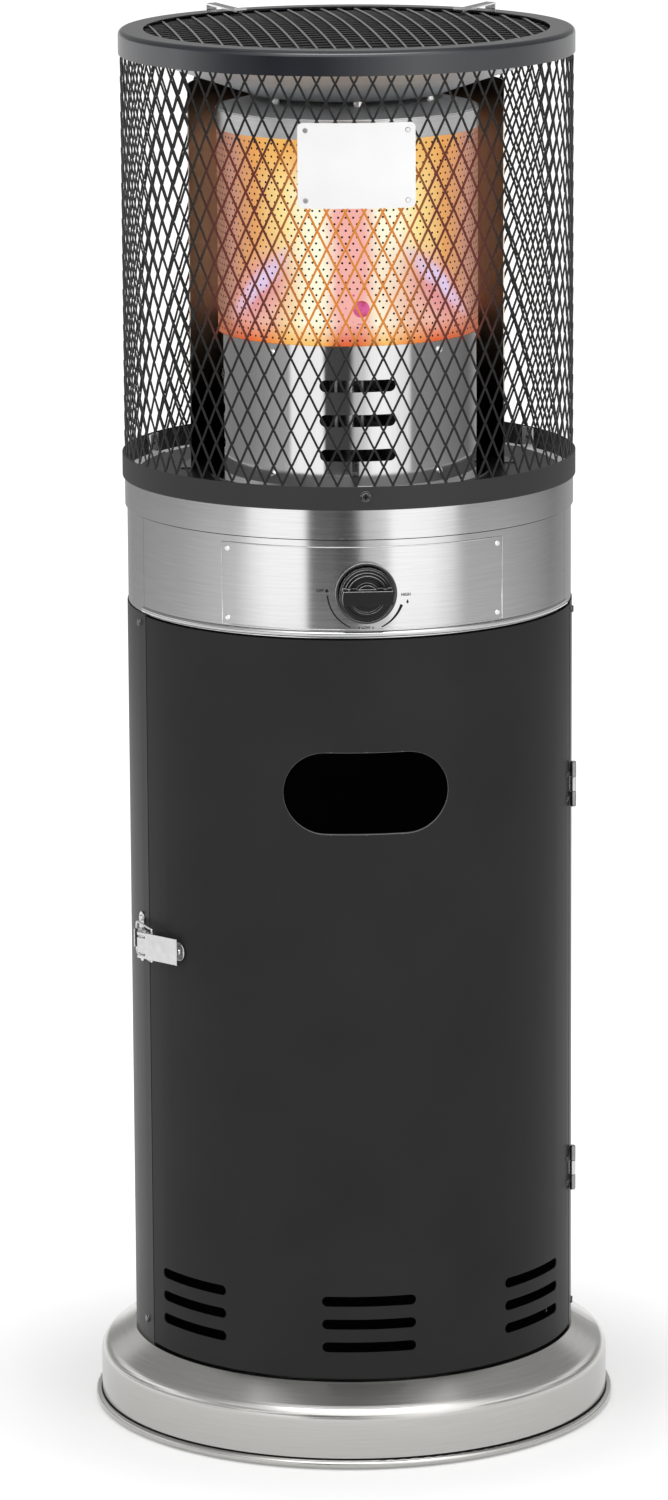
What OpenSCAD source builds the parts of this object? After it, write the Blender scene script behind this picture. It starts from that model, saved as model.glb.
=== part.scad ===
// Gas patio heater: a drum that houses a gas cylinder, with a door, a control
// band, and a caged emitter head on top. Front is -Y, up is +Z, millimetres.
// Angles run round the axis from the front, positive towards +X.

/* [Body] */
// Outer radius of the door and of the rear housing
body_r = 214.5; // [205:0.5:225]
// Thickness of the painted body sheet
sheet_t = 1.2; // [0.8:0.1:1.6]
// Height of the rear housing above the base
housing_h = 724.5; // [700:0.5:800]
// Width of the folded flanges and edge lips of the body sheet
flange_w = 11; // [8:0.5:14]
// Angle of the seam on the latch side
latch_seam = -69; // [-71:0.5:-67]
// Angle of the seam on the hinge side
hinge_seam = 76; // [74:0.5:80]
// Half of the gap at the latch seam
latch_gap = 0.8; // [0.5:0.1:1.2]
// Half of the gap at the hinge seam, where the hinge leaves pass through
hinge_gap = 1.7; // [1.6:0.1:2]
// Play left between curved pieces that seat on each other
seat_gap = 0.15; // [0.1:0.05:0.3]
// Gap above and below the door
door_gap = 1.6; // [1:0.1:2.5]

/* [Door cut-outs] */
// Width of the hand slot
hand_w = 156; // [130:1:180]
// Height of the hand slot
hand_h = 79; // [60:1:90]
// Height of the hand slot's centre above the ground
hand_z = 652; // [630:1:670]
// Length of a vent slot
vent_w = 90; // [70:1:100]
// Height of a vent slot
vent_h = 10; // [7:0.5:13]
// Distance between rows of vent slots
vent_pitch = 22.7; // [20:0.1:26]
// Height of the lowest row above the ground
vent_z = 110; // [105:0.5:120]
// Angle between the groups of vent slots
vent_step = 51; // [46:1:54]
// Rows of vent slots in a group
vent_rows = 3; // [1:1:4]

/* [Base] */
// Outer radius of the rolled rim
base_r = 255; // [250:0.5:270]
// Radius of the rolled rim's bead
bead_r = 4; // [3:0.1:5]
// Thickness of the base sheet
base_t = 1; // [0.8:0.1:1.4]
// Height of the base
base_h = 76; // [70:0.5:84]
// Radius of the rounded shoulder
shoulder_r = 16; // [12:0.5:20]
// Height of the upright wall, where the shoulder starts
base_wall_h = 47; // [42:0.5:52]
// Angle that the shoulder turns through before the sloped top
shoulder_turn = 56; // [48:1:62]
// Width of the flat landing round the top
base_land = 36; // [32:1:40]
// Thickness of the bottom pan and of the cylinder floor
floor_t = 1.5; // [1.2:0.1:2]
// Radius of a foot
foot_r = 18; // [14:0.5:24]
// Height of the rolled rim above the ground
rim_clear = 1; // [0.5:0.1:2]
// Distance of the feet from the axis
foot_place = 205; // [180:1:215]
// Number of feet
foot_count = 4; // [3:1:8]

/* [Control band] */
// Height of the control band
band_h = 103; // [95:0.5:115]
// Step in from the body to the control band
band_step = 1; // [0.6:0.1:1.6]
// Thickness of the stainless sheet
steel_t = 1; // [0.8:0.1:1.2]
// Angle of the joint between front and rear band panels
band_split = 70.5; // [66:0.5:72]
// Radius of the bead along the bottom of the front panel
trim_r = 3; // [2.4:0.1:3.4]
// Height of the collar ring
collar_h = 30; // [26:0.5:34]
// Overlap of the collar ring over the band
collar_lap = 10; // [6:0.5:14]
// Half angle of the bare plate on the front panel
plate_half = 38; // [34:0.5:42]
// Height of the bare plate
plate_h = 78; // [70:0.5:80]
// Thickness of the bare plates
plate_t = 0.6; // [0.4:0.1:0.8]
// Height of the bare plate's lower edge above the band's lower edge
plate_rise = 7.5; // [7:0.5:10]
// Radius of the rivets on the bare plates
rivet_r = 2.6; // [2:0.1:3.2]

/* [Gas control] */
// Height of the knob's axis above the band's lower edge
knob_rise = 42.5; // [40:0.5:46]
// Radius of the knob
knob_r = 25.5; // [24:0.5:27]
// Thickness of the knob's disc
knob_disc_t = 7; // [6:0.5:9]
// How far the grip stands out of the knob's disc
grip_h = 16; // [12:0.5:18]
// Width of the grip
grip_w = 13; // [10:0.5:16]
// Radial play between the knob and its bezel
knob_play = 1.2; // [0.8:0.1:2]
// Width of the bezel's rim
bezel_w = 2.3; // [1.8:0.1:3]
// Height of the bezel's rim
bezel_h = 5; // [4:0.1:6]
// How far the knob is pushed in
push_travel = 4; // [3:0.1:5]
// Radius of the spindle's nose that holds the knob
spindle_r = 4; // [3.5:0.1:4.4]
// Radius of the bore in the valve
valve_bore_r = 5; // [4.6:0.1:5.6]
// Radial running play of the spindle, the hinge pins and the latch pins
run_play = 0.05; // [0.03:0.01:0.08]
// Width of the valve body
valve_w = 36; // [34:1:44]
// Depth of the valve body
valve_d = 37; // [34:1:44]
// Radius of the gas inlet's thread
inlet_r = 7.94; // [6.5:0.01:9.5]
// Length of the gas inlet's thread
inlet_len = 16; // [12:0.5:20]
// Radius of the gas pipe
pipe_r = 4; // [3:0.1:5]

/* [Burner head] */
// Radius of the burner housing and the emitter's collar
burner_r = 125.5; // [115:0.5:135]
// Height of the burner housing
burner_h = 137; // [125:0.5:150]
// Visible height of the emitter screen
emitter_h = 194; // [180:0.5:210]
// Depth that the emitter screen sits inside the pieces above and below it
emitter_lap = 10; // [6:0.5:14]
// Height of the collar on the emitter
emitter_collar_h = 18; // [15:0.5:22]
// Length of an air slot in the burner housing
slot_w = 72; // [60:1:80]
// Height of an air slot in the burner housing
slot_h = 11.5; // [8:0.5:13]
// Distance between rows of air slots
slot_pitch = 33; // [28:0.5:38]
// Height of the lowest air slot above the head floor
slot_rise = 33; // [28:0.5:36]
// Radius of the viewing hole in the emitter
view_r = 8; // [6:0.5:10]
// Angle of the viewing hole from the front
view_angle = 1.7; // [-10:0.1:10]
// Radius of the reflector behind the emitter
reflector_r = 152; // [146:0.5:162]
// Height of the reflector
reflector_h = 370; // [350:1:374]
// Radius of the venturi tube
venturi_r = 18; // [15:0.5:22]
// Distance between the emitter's lid and the deflector pan
spacer_h = 5; // [4:0.5:8]
// Depth of the deflector pan's cone
pan_h = 38; // [34:0.5:42]
// Radius of the deflector pan's flat bottom
pan_bottom_r = 92; // [84:1:98]

/* [Guard] */
// Height of the guard's bottom ring
ring_h = 22; // [18:0.5:26]
// Thickness of the guard's bottom ring
ring_t = 1.8; // [1.4:0.1:2.4]
// Visible height of the guard's mesh
guard_h = 382; // [372:0.5:400]
// Diamonds counted round the mesh
mesh_count = 78; // [60:3:90]
// Height of one diamond
mesh_pitch = 34; // [30:0.5:40]
// Width of a strand
strand_w = 2.2; // [1.6:0.1:2.6]
// Thickness of a strand
strand_t = 1.1; // [0.8:0.1:1.3]
// Width of the bare plate on the guard
sign_w = 109; // [90:1:120]
// Height of the bare plate on the guard
sign_h = 79; // [70:1:90]
// Height of the plate's lower edge above the guard's bottom ring
sign_rise = 260; // [240:1:275]
// Corner radius of the bare plate
sign_corner = 5; // [3:0.5:8]
// Angle of the bare plate from the front
sign_angle = -1.7; // [-5:0.1:5]

/* [Cap and grille] */
// Height of the cap ring
cap_h = 23; // [20:0.5:26]
// Rounding of the cap ring's outer edge
cap_round = 5; // [3:0.5:7]
// Width of the cap ring's top
cap_flange = 24; // [20:0.5:28]
// Radius of the grille's upper wires
wire_r = 1; // [0.8:0.1:1.3]
// Radius of the grille's cross wires
cross_r = 0.9; // [0.7:0.1:1.1]
// Distance between grille wires
wire_pitch = 16.5; // [15:0.5:22]
// Rise of the grille's dome
dome_h = 6; // [4:0.5:8]
// Radius of the grille's rim wire
rim_wire_r = 2; // [1.6:0.1:2.6]
// Turn of the grille about the axis
grille_turn = 3.3; // [0:0.1:15]
// Length of a grille clip
clip_len = 49; // [44:1:60]
// Width of a grille clip
clip_w = 12; // [9:0.5:16]
// Angle of the clips to each side of the middle between them
clip_half_angle = 38.6; // [25:0.1:45]
// Angle of the middle between the clips
clip_middle_angle = 174.5; // [170:0.1:190]
// Angle at which the clips fall towards the grille
clip_tilt_angle = 4; // [2:0.5:6]

/* [Hinges] */
// Radius of a hinge's barrel
barrel_r = 3; // [2.6:0.1:3.2]
// Distance of the hinge's axis from the body's surface
barrel_out = 3.6; // [3.5:0.1:4.2]
// Radius of a hinge pin
hinge_pin_r = 1.5; // [1.2:0.1:1.7]
// Height of a hinge
hinge_h = 42; // [34:1:52]
// Thickness of a hinge leaf
leaf_t = 1.1; // [0.9:0.1:1.2]
// Width of a hinge leaf
leaf_w = 22; // [16:0.5:26]
// Height of the lower hinge above the ground
hinge_low = 238; // [200:1:300]
// Height of the upper hinge above the ground
hinge_high = 622; // [560:1:660]

/* [Draw latch] */
// Angle at which the latch's base plate lies on the door
latch_angle = -57; // [-58:0.5:-55]
// Height of the latch above the ground
latch_z = 482; // [440:1:520]
// Length of the lever
lever_len = 52; // [46:0.5:56]
// Height of the lever's plate
lever_h = 25.6; // [24:0.2:28]
// Thickness of the lever's and the latch base's sheet
latch_t = 1.2; // [1:0.1:1.4]
// Slope of the closed lever to the base plate
lever_slope = 12; // [10:0.5:13]
// Distance of the lever's pivot from the middle of the base plate
pivot_s = 33; // [31:0.5:34]
// Height of the lever's pivot above the door
pivot_n = 9.5; // [9:0.1:11]
// Radius of the lever's pivot pin
latch_pin_r = 1.5; // [1.2:0.1:1.8]
// Distance of the bail's pivot from the lever's pivot
bail_arm = 9; // [8:0.1:10]
// Radius of the bail's wire
bail_r = 1.2; // [1:0.05:1.4]
// Height of the strike's hook above its plate
hook_h = 9; // [8:0.5:11]
// Distance of the strike's hook from the latch seam
strike_offset = 16.8; // [15:0.1:18]

/* [Hidden] */
$fn = 96;
// Small overlap that makes two shapes of one piece fuse
fuse = 0.02;
// How far a cutting shape reaches past the face that it cuts
cut = 1;

// Finishes
black_paint = [0.18, 0.18, 0.185];
mesh_black = [0.1, 0.1, 0.1];
slate_paint = [0.33, 0.34, 0.36];
stainless = [0.78, 0.78, 0.77];
zinc = [0.72, 0.73, 0.74];
brass = [0.72, 0.56, 0.26];
rubber_black = [0.08, 0.08, 0.08];
plastic_black = [0.11, 0.11, 0.115];
plate_white = [0.93, 0.93, 0.92];
glow_orange = [0.95, 0.55, 0.18];
ceramic_white = [0.9, 0.88, 0.84];

// Heights of the stack
housing_top = base_h + housing_h;
door_low = base_h + sheet_t + door_gap;
door_top = housing_top - door_gap;
layer_gap = 0.1;
shield_z = housing_top + layer_gap;
shield_t = sheet_t;
band_z = shield_z + shield_t;
band_top = band_z + band_h;
collar_z = band_top - collar_lap;
floor_z = collar_z + collar_h;
deck_z = floor_z + steel_t;
ring_drop = 2;
ring_z = floor_z - ring_drop;
ring_top = ring_z + ring_h;
cap_z = ring_top + guard_h;
cap_top = cap_z + cap_h;

// Radii
inner_r = body_r - sheet_t;
band_r = body_r - band_step;
band_inner_r = band_r - steel_t;
collar_inner_r = band_r + 2*seat_gap;
collar_t = 1.7;
collar_r = collar_inner_r + collar_t;
ring_gap = 0.4;
ring_inner_r = collar_r + ring_gap;
ring_r = ring_inner_r + ring_t;
mesh_r = ring_inner_r - 2*seat_gap;
mesh_inner_r = mesh_r - 2*strand_t - layer_gap;
cap_inner_r = mesh_r + 2*seat_gap;
cap_r = cap_inner_r + sheet_t;
rim_out = 1.5*bead_r;
base_wall_r = base_r - rim_out;
land_step = 2;
land_r = body_r + land_step;
plate_r = band_r + seat_gap;
cap_edge_r = cap_r - cap_flange;

// The grille's dome: its rim, and the heights of its wires at their ends, clear of the cap ring's flange
rim_lap = 9.4;
flange_clear = 0.3;
grille_rim_r = cap_edge_r + rim_lap;
function dome_rise(d) = dome_h*(1 - d*d/grille_rim_r/grille_rim_r);
long_edge_z = cap_top - sheet_t - flange_clear - wire_r - dome_rise(cap_edge_r);
cross_edge_z = long_edge_z - wire_r - layer_gap - cross_r;
rim_wire_z = cross_edge_z - cross_r - layer_gap - rim_wire_r;

// Depths of the valve and its bracket behind the control band
bracket_t = 1.5;
bracket_gap = 2;
bracket_front = band_inner_r - bracket_gap;
valve_front = bracket_front - bracket_t - layer_gap;
inlet_y = valve_d/2 - valve_front;

// Seam angles of the body
function arc_angle(length, r) = length/r*180/PI;
door_left = latch_seam + arc_angle(latch_gap, body_r);
door_right = hinge_seam - arc_angle(hinge_gap, body_r);
housing_right = hinge_seam + arc_angle(hinge_gap, body_r);
housing_left = latch_seam - arc_angle(latch_gap, body_r);

// Turns its children to an angle from the front
module at(angle) {
    rotate([0, 0, angle]) children();
}

// A ring or an upright tube
module tube(outer, inner, z, h) {
    translate([0, 0, z]) difference() {
        cylinder(r = outer, h = h);
        translate([0, 0, -cut]) cylinder(r = inner, h = h + 2*cut);
    }
}

// A stretch of tube between two angles
module sector(outer, inner, z, h, from, to) {
    at(from - 90) rotate_extrude(angle = to - from) translate([inner, z]) square([outer - inner, h]);
}

// An outline with round ends, w long and h high
module stadium(w, h) {
    square([w - h, h], center = true);
    for (side = [-1, 1]) translate([side*(w - h)/2, 0]) circle(d = h);
}

// A rectangle with round corners
module rounded_plate(w, h, r) {
    square([w - 2*r, h], center = true);
    square([w, h - 2*r], center = true);
    for (x = [-1, 1]) for (y = [-1, 1]) translate([x*(w/2 - r), y*(h/2 - r)]) circle(r = r);
}

// Extrudes a flat outline outwards through a wall, from radius r_in to r_out
module through(angle, r_in, r_out, z) {
    at(angle) translate([0, -r_in, z]) rotate([90, 0, 0]) linear_extrude(r_out - r_in) children();
}

// Places its children on a wall, with their +Z pointing outwards
module on_wall(angle, r, z) {
    at(angle) translate([0, -r, z]) rotate([90, 0, 0]) children();
}

// A pan head screw or rivet that stands on z = 0, with its shank below
screw_head_r = 3.4;
screw_head_h = 1.9;
screw_shank_r = 1.9;
screw_hole_r = screw_shank_r + seat_gap;
head_taper = 0.72;
module screw(head_r = screw_head_r, head_h = screw_head_h, shank_r = screw_shank_r, shank = 5) {
    cylinder(r1 = head_r, r2 = head_taper*head_r, h = head_h);
    translate([0, 0, -shank]) cylinder(r = shank_r, h = shank + fuse);
}

// Points of an arc, for outlines that are turned on the axis
arc_steps = 8;
function arc_points(cx, cy, r, from, to) =
    [for (i = [0 : arc_steps]) let (a = from + (to - from)*i/arc_steps) [cx + r*cos(a), cy + r*sin(a)]];

// Base: a spun steel cover on a bottom pan with feet, and the floor for the gas cylinder
rim_z = rim_clear + bead_r;
module base_cover() {
    color(stainless) {
        shoulder_x = base_wall_r - shoulder_r;
        rotate_extrude() {
            translate([base_r - bead_r, rim_z]) circle(r = bead_r);
            polygon(concat(
                [[base_wall_r, rim_z]],
                arc_points(shoulder_x, base_wall_h, shoulder_r, 0, shoulder_turn),
                [[land_r, base_h], [land_r - base_land, base_h], [land_r - base_land, base_h - base_t],
                 [land_r - base_t/2, base_h - base_t]],
                arc_points(shoulder_x, base_wall_h, shoulder_r - base_t, shoulder_turn, 0),
                [[base_wall_r - base_t, rim_z]]));
        }
    }
}

pan_top = rim_z + floor_t/2;
foot_start = 45;
module base_pan() {
    color(zinc) translate([0, 0, pan_top - floor_t]) difference() {
        cylinder(r = base_r - 2*bead_r - seat_gap, h = floor_t);
        for (i = [0 : foot_count - 1]) at(foot_start + i*360/foot_count)
            translate([0, -foot_place, -cut]) cylinder(r = screw_hole_r, h = floor_t + 2*cut);
    }
}

foot_chamfer = 1.5;
foot_stud_h = 2;
module base_feet() {
    color(rubber_black) for (i = [0 : foot_count - 1]) at(foot_start + i*360/foot_count)
        translate([0, -foot_place, 0]) {
            cylinder(r1 = foot_r - foot_chamfer, r2 = foot_r, h = foot_chamfer);
            translate([0, 0, foot_chamfer - fuse])
                cylinder(r = foot_r, h = pan_top - floor_t - foot_chamfer + fuse);
            cylinder(r = screw_shank_r, h = pan_top + foot_stud_h);
        }
}

floor_edge_gap = 1;
floor_screw_inset = 10;
cylinder_floor_r = inner_r - flange_w - floor_edge_gap;
floor_screw_r = cylinder_floor_r - floor_screw_inset;
floor_screw_count = 6;
floor_screw_start = 30;
module cylinder_floor() {
    color(zinc) translate([0, 0, base_h]) difference() {
        cylinder(r = cylinder_floor_r, h = floor_t);
        for (i = [0 : floor_screw_count - 1]) at(floor_screw_start + i*360/floor_screw_count)
            translate([0, -floor_screw_r, -cut]) cylinder(r = screw_hole_r, h = floor_t + 2*cut);
    }
}

module floor_screws() {
    color(zinc) for (i = [0 : floor_screw_count - 1]) at(floor_screw_start + i*360/floor_screw_count)
        translate([0, -floor_screw_r, base_h + floor_t]) screw(shank = floor_t);
}

// Rear housing with its folded flanges and the lip at the latch seam
lip_setback = 1;
lip_w = flange_w - lip_setback;
housing_screw_inset = 16;
housing_screw_low = 22;
housing_screw_high = 10;
housing_screw_z = [base_h + housing_screw_low, housing_top - housing_screw_high];
housing_screw_angles = [housing_right + arc_angle(housing_screw_inset, body_r),
                        housing_left - arc_angle(housing_screw_inset, body_r)];
module rear_housing() {
    color(black_paint) difference() {
        union() {
            sector(body_r, inner_r, base_h, housing_h, housing_right, 360 + housing_left);
            for (z = [base_h, housing_top - sheet_t])
                sector(inner_r + fuse, inner_r - flange_w, z, sheet_t, housing_right, 360 + housing_left);
            at(housing_left) translate([-sheet_t, -inner_r - sheet_t/2, base_h + sheet_t/2])
                cube([sheet_t, lip_w, housing_h - sheet_t]);
        }
        for (a = housing_screw_angles) for (z = housing_screw_z)
            on_wall(a, inner_r - cut, z) cylinder(r = screw_hole_r, h = sheet_t + 2*cut);
        for (side = [-1, 1]) on_wall(strike_angle, inner_r - cut, latch_z + side*strike_screw_z)
            cylinder(r = screw_hole_r, h = sheet_t + 2*cut);
        for (z = [hinge_low, hinge_high]) leaf_rivet_holes(1, z);
    }
}

housing_head_r = 4;
module housing_screws() {
    color(rubber_black) for (a = housing_screw_angles) for (z = housing_screw_z)
        on_wall(a, body_r, z) screw(housing_head_r);
}

// Heat shield over the gas cylinder, with an opening for the gas inlet
inlet_opening_play = 9;
inlet_opening_r = inlet_r + inlet_opening_play;
module heat_shield() {
    color(zinc) translate([0, 0, shield_z]) difference() {
        cylinder(r = band_inner_r - seat_gap, h = shield_t);
        translate([0, inlet_y, -cut]) cylinder(r = inlet_opening_r, h = shield_t + 2*cut);
    }
}

switch_w = 34;
switch_h = 22;
switch_foot_t = 3;
switch_can_r = 14;
terminal_place = 6;
terminal_r = 1.5;
terminal_h = 8;
switch_y = 0.7*band_inner_r;
module tilt_switch() {
    color(plastic_black) translate([0, switch_y, band_z]) {
        translate([-switch_w/2, -switch_w/2, 0]) cube([switch_w, switch_w, switch_foot_t]);
        translate([0, 0, switch_foot_t - fuse]) cylinder(r = switch_can_r, h = switch_h - switch_foot_t);
        for (side = [-1, 1]) translate([side*terminal_place, 0, switch_h - 2*fuse])
            cylinder(r = terminal_r, h = terminal_h);
    }
}

// Control band: front panel with its bottom bead, rear panel, collar and bare plate
knob_z = band_z + knob_rise;
spindle_hole_play = 3;
spindle_hole_r = spindle_r + spindle_hole_play;
joint_gap = 0.4;
band_joint = arc_angle(joint_gap, band_r);
module control_panel_front() {
    color(stainless) difference() {
        union() {
            sector(band_r, band_inner_r, band_z, band_h, -band_split, band_split);
            at(-band_split - 90) rotate_extrude(angle = 2*band_split)
                intersection() {
                    translate([band_r, band_z + trim_r]) circle(r = trim_r);
                    translate([band_inner_r, band_z]) square([2*trim_r + steel_t, 2*trim_r]);
                }
        }
        on_wall(0, band_inner_r - cut, knob_z) cylinder(r = spindle_hole_r, h = steel_t + 2*cut);
    }
}

module control_panel_rear() {
    color(stainless)
        sector(band_r, band_inner_r, band_z, band_h, band_split + band_joint, 360 - band_split - band_joint);
}

collar_flange = 20;
module collar_ring() {
    color(stainless) {
        tube(collar_r, collar_inner_r, collar_z, collar_h);
        tube(collar_inner_r + fuse, collar_inner_r - collar_flange, floor_z - steel_t, steel_t);
    }
}

plate_z = band_z + plate_rise;
label_rivet_inset = 6;
label_rivet_angle = plate_half - arc_angle(label_rivet_inset, plate_r);
label_rivet_z = [plate_z + label_rivet_inset, plate_z + plate_h - label_rivet_inset];
rivet_h = 1.1;
rivet_shank_r = 1.2;
rivet_hole_r = rivet_shank_r + seat_gap;
module label_plate() {
    color(stainless) difference() {
        sector(plate_r + plate_t, plate_r, plate_z, plate_h, -plate_half, plate_half);
        on_wall(0, plate_r - cut, knob_z) cylinder(r = spindle_hole_r, h = plate_t + 2*cut);
        for (side = [-1, 1]) for (z = label_rivet_z)
            on_wall(side*label_rivet_angle, plate_r - cut, z) cylinder(r = rivet_hole_r, h = plate_t + 2*cut);
    }
}

module label_rivets() {
    color(zinc) for (side = [-1, 1]) for (z = label_rivet_z)
        on_wall(side*label_rivet_angle, plate_r + plate_t, z)
            screw(rivet_r, rivet_h, rivet_shank_r, plate_t);
}

// Gas control: bezel, valve with its bore, bracket, inlet and pipe
bezel_r = knob_r + knob_play + bezel_w;
bezel_seat_r = plate_r + plate_t + seat_gap;
bezel_floor_t = 1.2;
bezel_floor = bezel_seat_r + bezel_floor_t;
bezel_sag = bezel_r*bezel_r/bezel_seat_r/2 + cut;
module knob_bezel() {
    color(plastic_black) difference() {
        on_wall(0, bezel_seat_r - bezel_sag, knob_z) cylinder(r = bezel_r, h = bezel_h + bezel_sag);
        translate([0, 0, knob_z - bezel_r - cut]) cylinder(r = bezel_seat_r, h = 2*(bezel_r + cut));
        on_wall(0, bezel_floor, knob_z) cylinder(r = bezel_r - bezel_w, h = bezel_h + cut);
        on_wall(0, bezel_seat_r - bezel_sag - cut, knob_z)
            cylinder(r = spindle_hole_r, h = bezel_sag + bezel_floor_t + 2*cut);
    }
}

bracket_half = 22;
boss_wall = 3;
boss_r = valve_bore_r + boss_wall;
boss_len = 3;
valve_back_t = 2;
valve_bore_len = valve_d - valve_back_t;
valve_corner = 5;
inlet_boss_wall = 2;
inlet_boss_h = 5;
outlet_wall = 4;
outlet_len = 8;
module valve_body() {
    color(zinc) difference() {
        union() {
            on_wall(0, valve_front - valve_d, knob_z) linear_extrude(valve_d)
                rounded_plate(valve_w, valve_w, valve_corner);
            on_wall(0, valve_front - fuse, knob_z) cylinder(r = boss_r, h = boss_len);
            translate([0, inlet_y, inlet_top])
                cylinder(r = inlet_r + inlet_boss_wall, h = inlet_boss_h + cut);
            on_wall(0, pipe_start, knob_z) cylinder(r = pipe_r + outlet_wall, h = outlet_len + fuse);
        }
        on_wall(0, valve_front - valve_bore_len, knob_z)
            cylinder(r = valve_bore_r, h = valve_bore_len + boss_len + cut);
    }
}

bracket_len = 44;
bracket_over = 4;
module valve_bracket() {
    color(zinc) difference() {
        union() {
            translate([-bracket_half, -bracket_front, band_z])
                cube([2*bracket_half, bracket_t, knob_rise + valve_w/2 + bracket_over]);
            translate([-bracket_half, -bracket_front, band_z]) cube([2*bracket_half, bracket_len, bracket_t]);
        }
        on_wall(0, bracket_front - bracket_t - cut, knob_z)
            cylinder(r = boss_r + seat_gap, h = bracket_t + 2*cut);
        translate([0, inlet_y, band_z - cut]) cylinder(r = inlet_opening_r, h = bracket_t + 2*cut);
    }
}

inlet_top = knob_z - valve_w/2 - inlet_boss_h;
inlet_hex_h = 10;
inlet_hex_wall = 3;
inlet_stem_step = 2;
inlet_drop = 14;
inlet_low = shield_z - inlet_drop - inlet_len;
module gas_inlet() {
    color(brass) translate([0, inlet_y, 0]) {
        translate([0, 0, inlet_low]) cylinder(r = inlet_r, h = inlet_len);
        translate([0, 0, inlet_low + inlet_len])
            cylinder(r = inlet_r + inlet_hex_wall, h = inlet_hex_h, $fn = 6);
        translate([0, 0, inlet_low + inlet_len + inlet_hex_h])
            cylinder(r = inlet_r - inlet_stem_step, h = inlet_top - inlet_low - inlet_len - inlet_hex_h);
    }
}

pipe_start = valve_front - valve_d - outlet_len;
pipe_bend = 18;
riser_h = 8;
injector_z = knob_z + pipe_bend + riser_h;
module gas_pipe() {
    color(brass) {
        on_wall(0, pipe_bend, knob_z) cylinder(r = pipe_r, h = pipe_start - pipe_bend);
        translate([0, -pipe_bend, knob_z + pipe_bend]) rotate([0, 90, 0])
            rotate_extrude(angle = 90) translate([pipe_bend, 0]) circle(r = pipe_r);
        translate([0, 0, knob_z + pipe_bend]) cylinder(r = pipe_r, h = injector_z - knob_z - pipe_bend);
    }
}

injector_h = 16;
injector_hex_wall = 5;
injector_foot_wall = 3;
injector_tip_step = 1;
module gas_injector() {
    color(brass) translate([0, 0, injector_z]) {
        cylinder(r = pipe_r + injector_hex_wall, h = injector_h/2, $fn = 6);
        translate([0, 0, injector_h/2])
            cylinder(r1 = pipe_r + injector_foot_wall, r2 = pipe_r - injector_tip_step, h = injector_h/2);
    }
}

// Burner: venturi tube through the head floor, and the burner head on it
venturi_t = 1.5;
injector_lap = 2;
venturi_low = injector_z + injector_h - injector_lap;
flare_w = 6;
flare_h = 8;
flare_z = venturi_low + flare_h;
venturi_flange_w = 14;
venturi_flange_t = 2;
burner_head_drop = 22;
burner_head_z = deck_z + burner_h - burner_head_drop;
burner_head_gap = 14;
burner_head_r = burner_r - burner_head_gap;
burner_head_h = 12;
burner_head_t = 2;
module burner_venturi() {
    color(zinc) rotate_extrude() {
        translate([venturi_r - venturi_t, flare_z]) square([venturi_t, burner_head_z - flare_z]);
        polygon([[venturi_r, flare_z], [venturi_r + flare_w, venturi_low],
                 [venturi_r + flare_w - venturi_t, venturi_low], [venturi_r - venturi_t, flare_z]]);
        translate([venturi_r - fuse, deck_z]) square([venturi_flange_w, venturi_flange_t]);
    }
}

module burner_head() {
    color(zinc) difference() {
        translate([0, 0, burner_head_z]) cylinder(r = burner_head_r, h = burner_head_h);
        translate([0, 0, burner_head_z + burner_head_t])
            cylinder(r = burner_head_r - burner_head_t, h = burner_head_h);
        translate([0, 0, burner_head_z - cut]) cylinder(r = venturi_r - venturi_t, h = burner_head_t + 2*cut);
    }
}

electrode_angle = 14;
electrode_inset = 8;
electrode_place = burner_head_r - electrode_inset;
electrode_z = burner_head_z + burner_head_t;
insulator_r = 4;
insulator_h = 22;
spark_pin_r = 1;
spark_pin_h = 34;
module igniter_electrode() {
    color(ceramic_white) at(electrode_angle) translate([0, -electrode_place, electrode_z]) {
        cylinder(r = insulator_r, h = insulator_h);
        cylinder(r = spark_pin_r, h = spark_pin_h);
    }
}

couple_nut_r = 3.2;
couple_nut_h = 16;
couple_r = 2;
couple_h = 40;
module thermocouple() {
    color(zinc) translate([0, -electrode_place, electrode_z]) {
        cylinder(r = couple_nut_r, h = couple_nut_h);
        cylinder(r = couple_r, h = couple_h);
    }
}

// Head: floor, burner housing with its air slots, emitter and reflector
head_floor_lap = 9;
head_floor_r = collar_inner_r - collar_flange + head_floor_lap;
module head_floor() {
    color(mesh_black) difference() {
        translate([0, 0, floor_z]) cylinder(r = head_floor_r, h = steel_t);
        translate([0, 0, floor_z - cut]) cylinder(r = venturi_r + seat_gap, h = steel_t + 2*cut);
    }
}

burner_inner_r = burner_r - steel_t;
burner_top = deck_z + burner_h;
slot_angles = [-90, 0, 90];
slot_rows = 3;
burner_screw_angles = [-141, -39, 39, 141];
burner_screw_low = 13;
burner_screw_high = 8;
burner_screw_z = [deck_z + burner_screw_low, burner_top - burner_screw_high];
burner_foot_w = 10;
slot_cut_depth = 12;
module burner_housing() {
    color(stainless) difference() {
        union() {
            tube(burner_r, burner_inner_r, deck_z, burner_h);
            tube(burner_r + burner_foot_w, burner_r - fuse, deck_z, steel_t);
        }
        for (a = slot_angles) for (row = [0 : slot_rows - 1])
            through(a, burner_inner_r - slot_cut_depth, burner_r + cut, deck_z + slot_rise + row*slot_pitch)
                stadium(slot_w, slot_h);
        for (a = burner_screw_angles) for (z = burner_screw_z)
            on_wall(a, burner_inner_r - cut, z) cylinder(r = screw_hole_r, h = steel_t + 2*cut);
    }
}

module burner_screws() {
    color(zinc) for (a = burner_screw_angles) for (z = burner_screw_z)
        on_wall(a, burner_r, z) screw(shank = steel_t);
}

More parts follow.
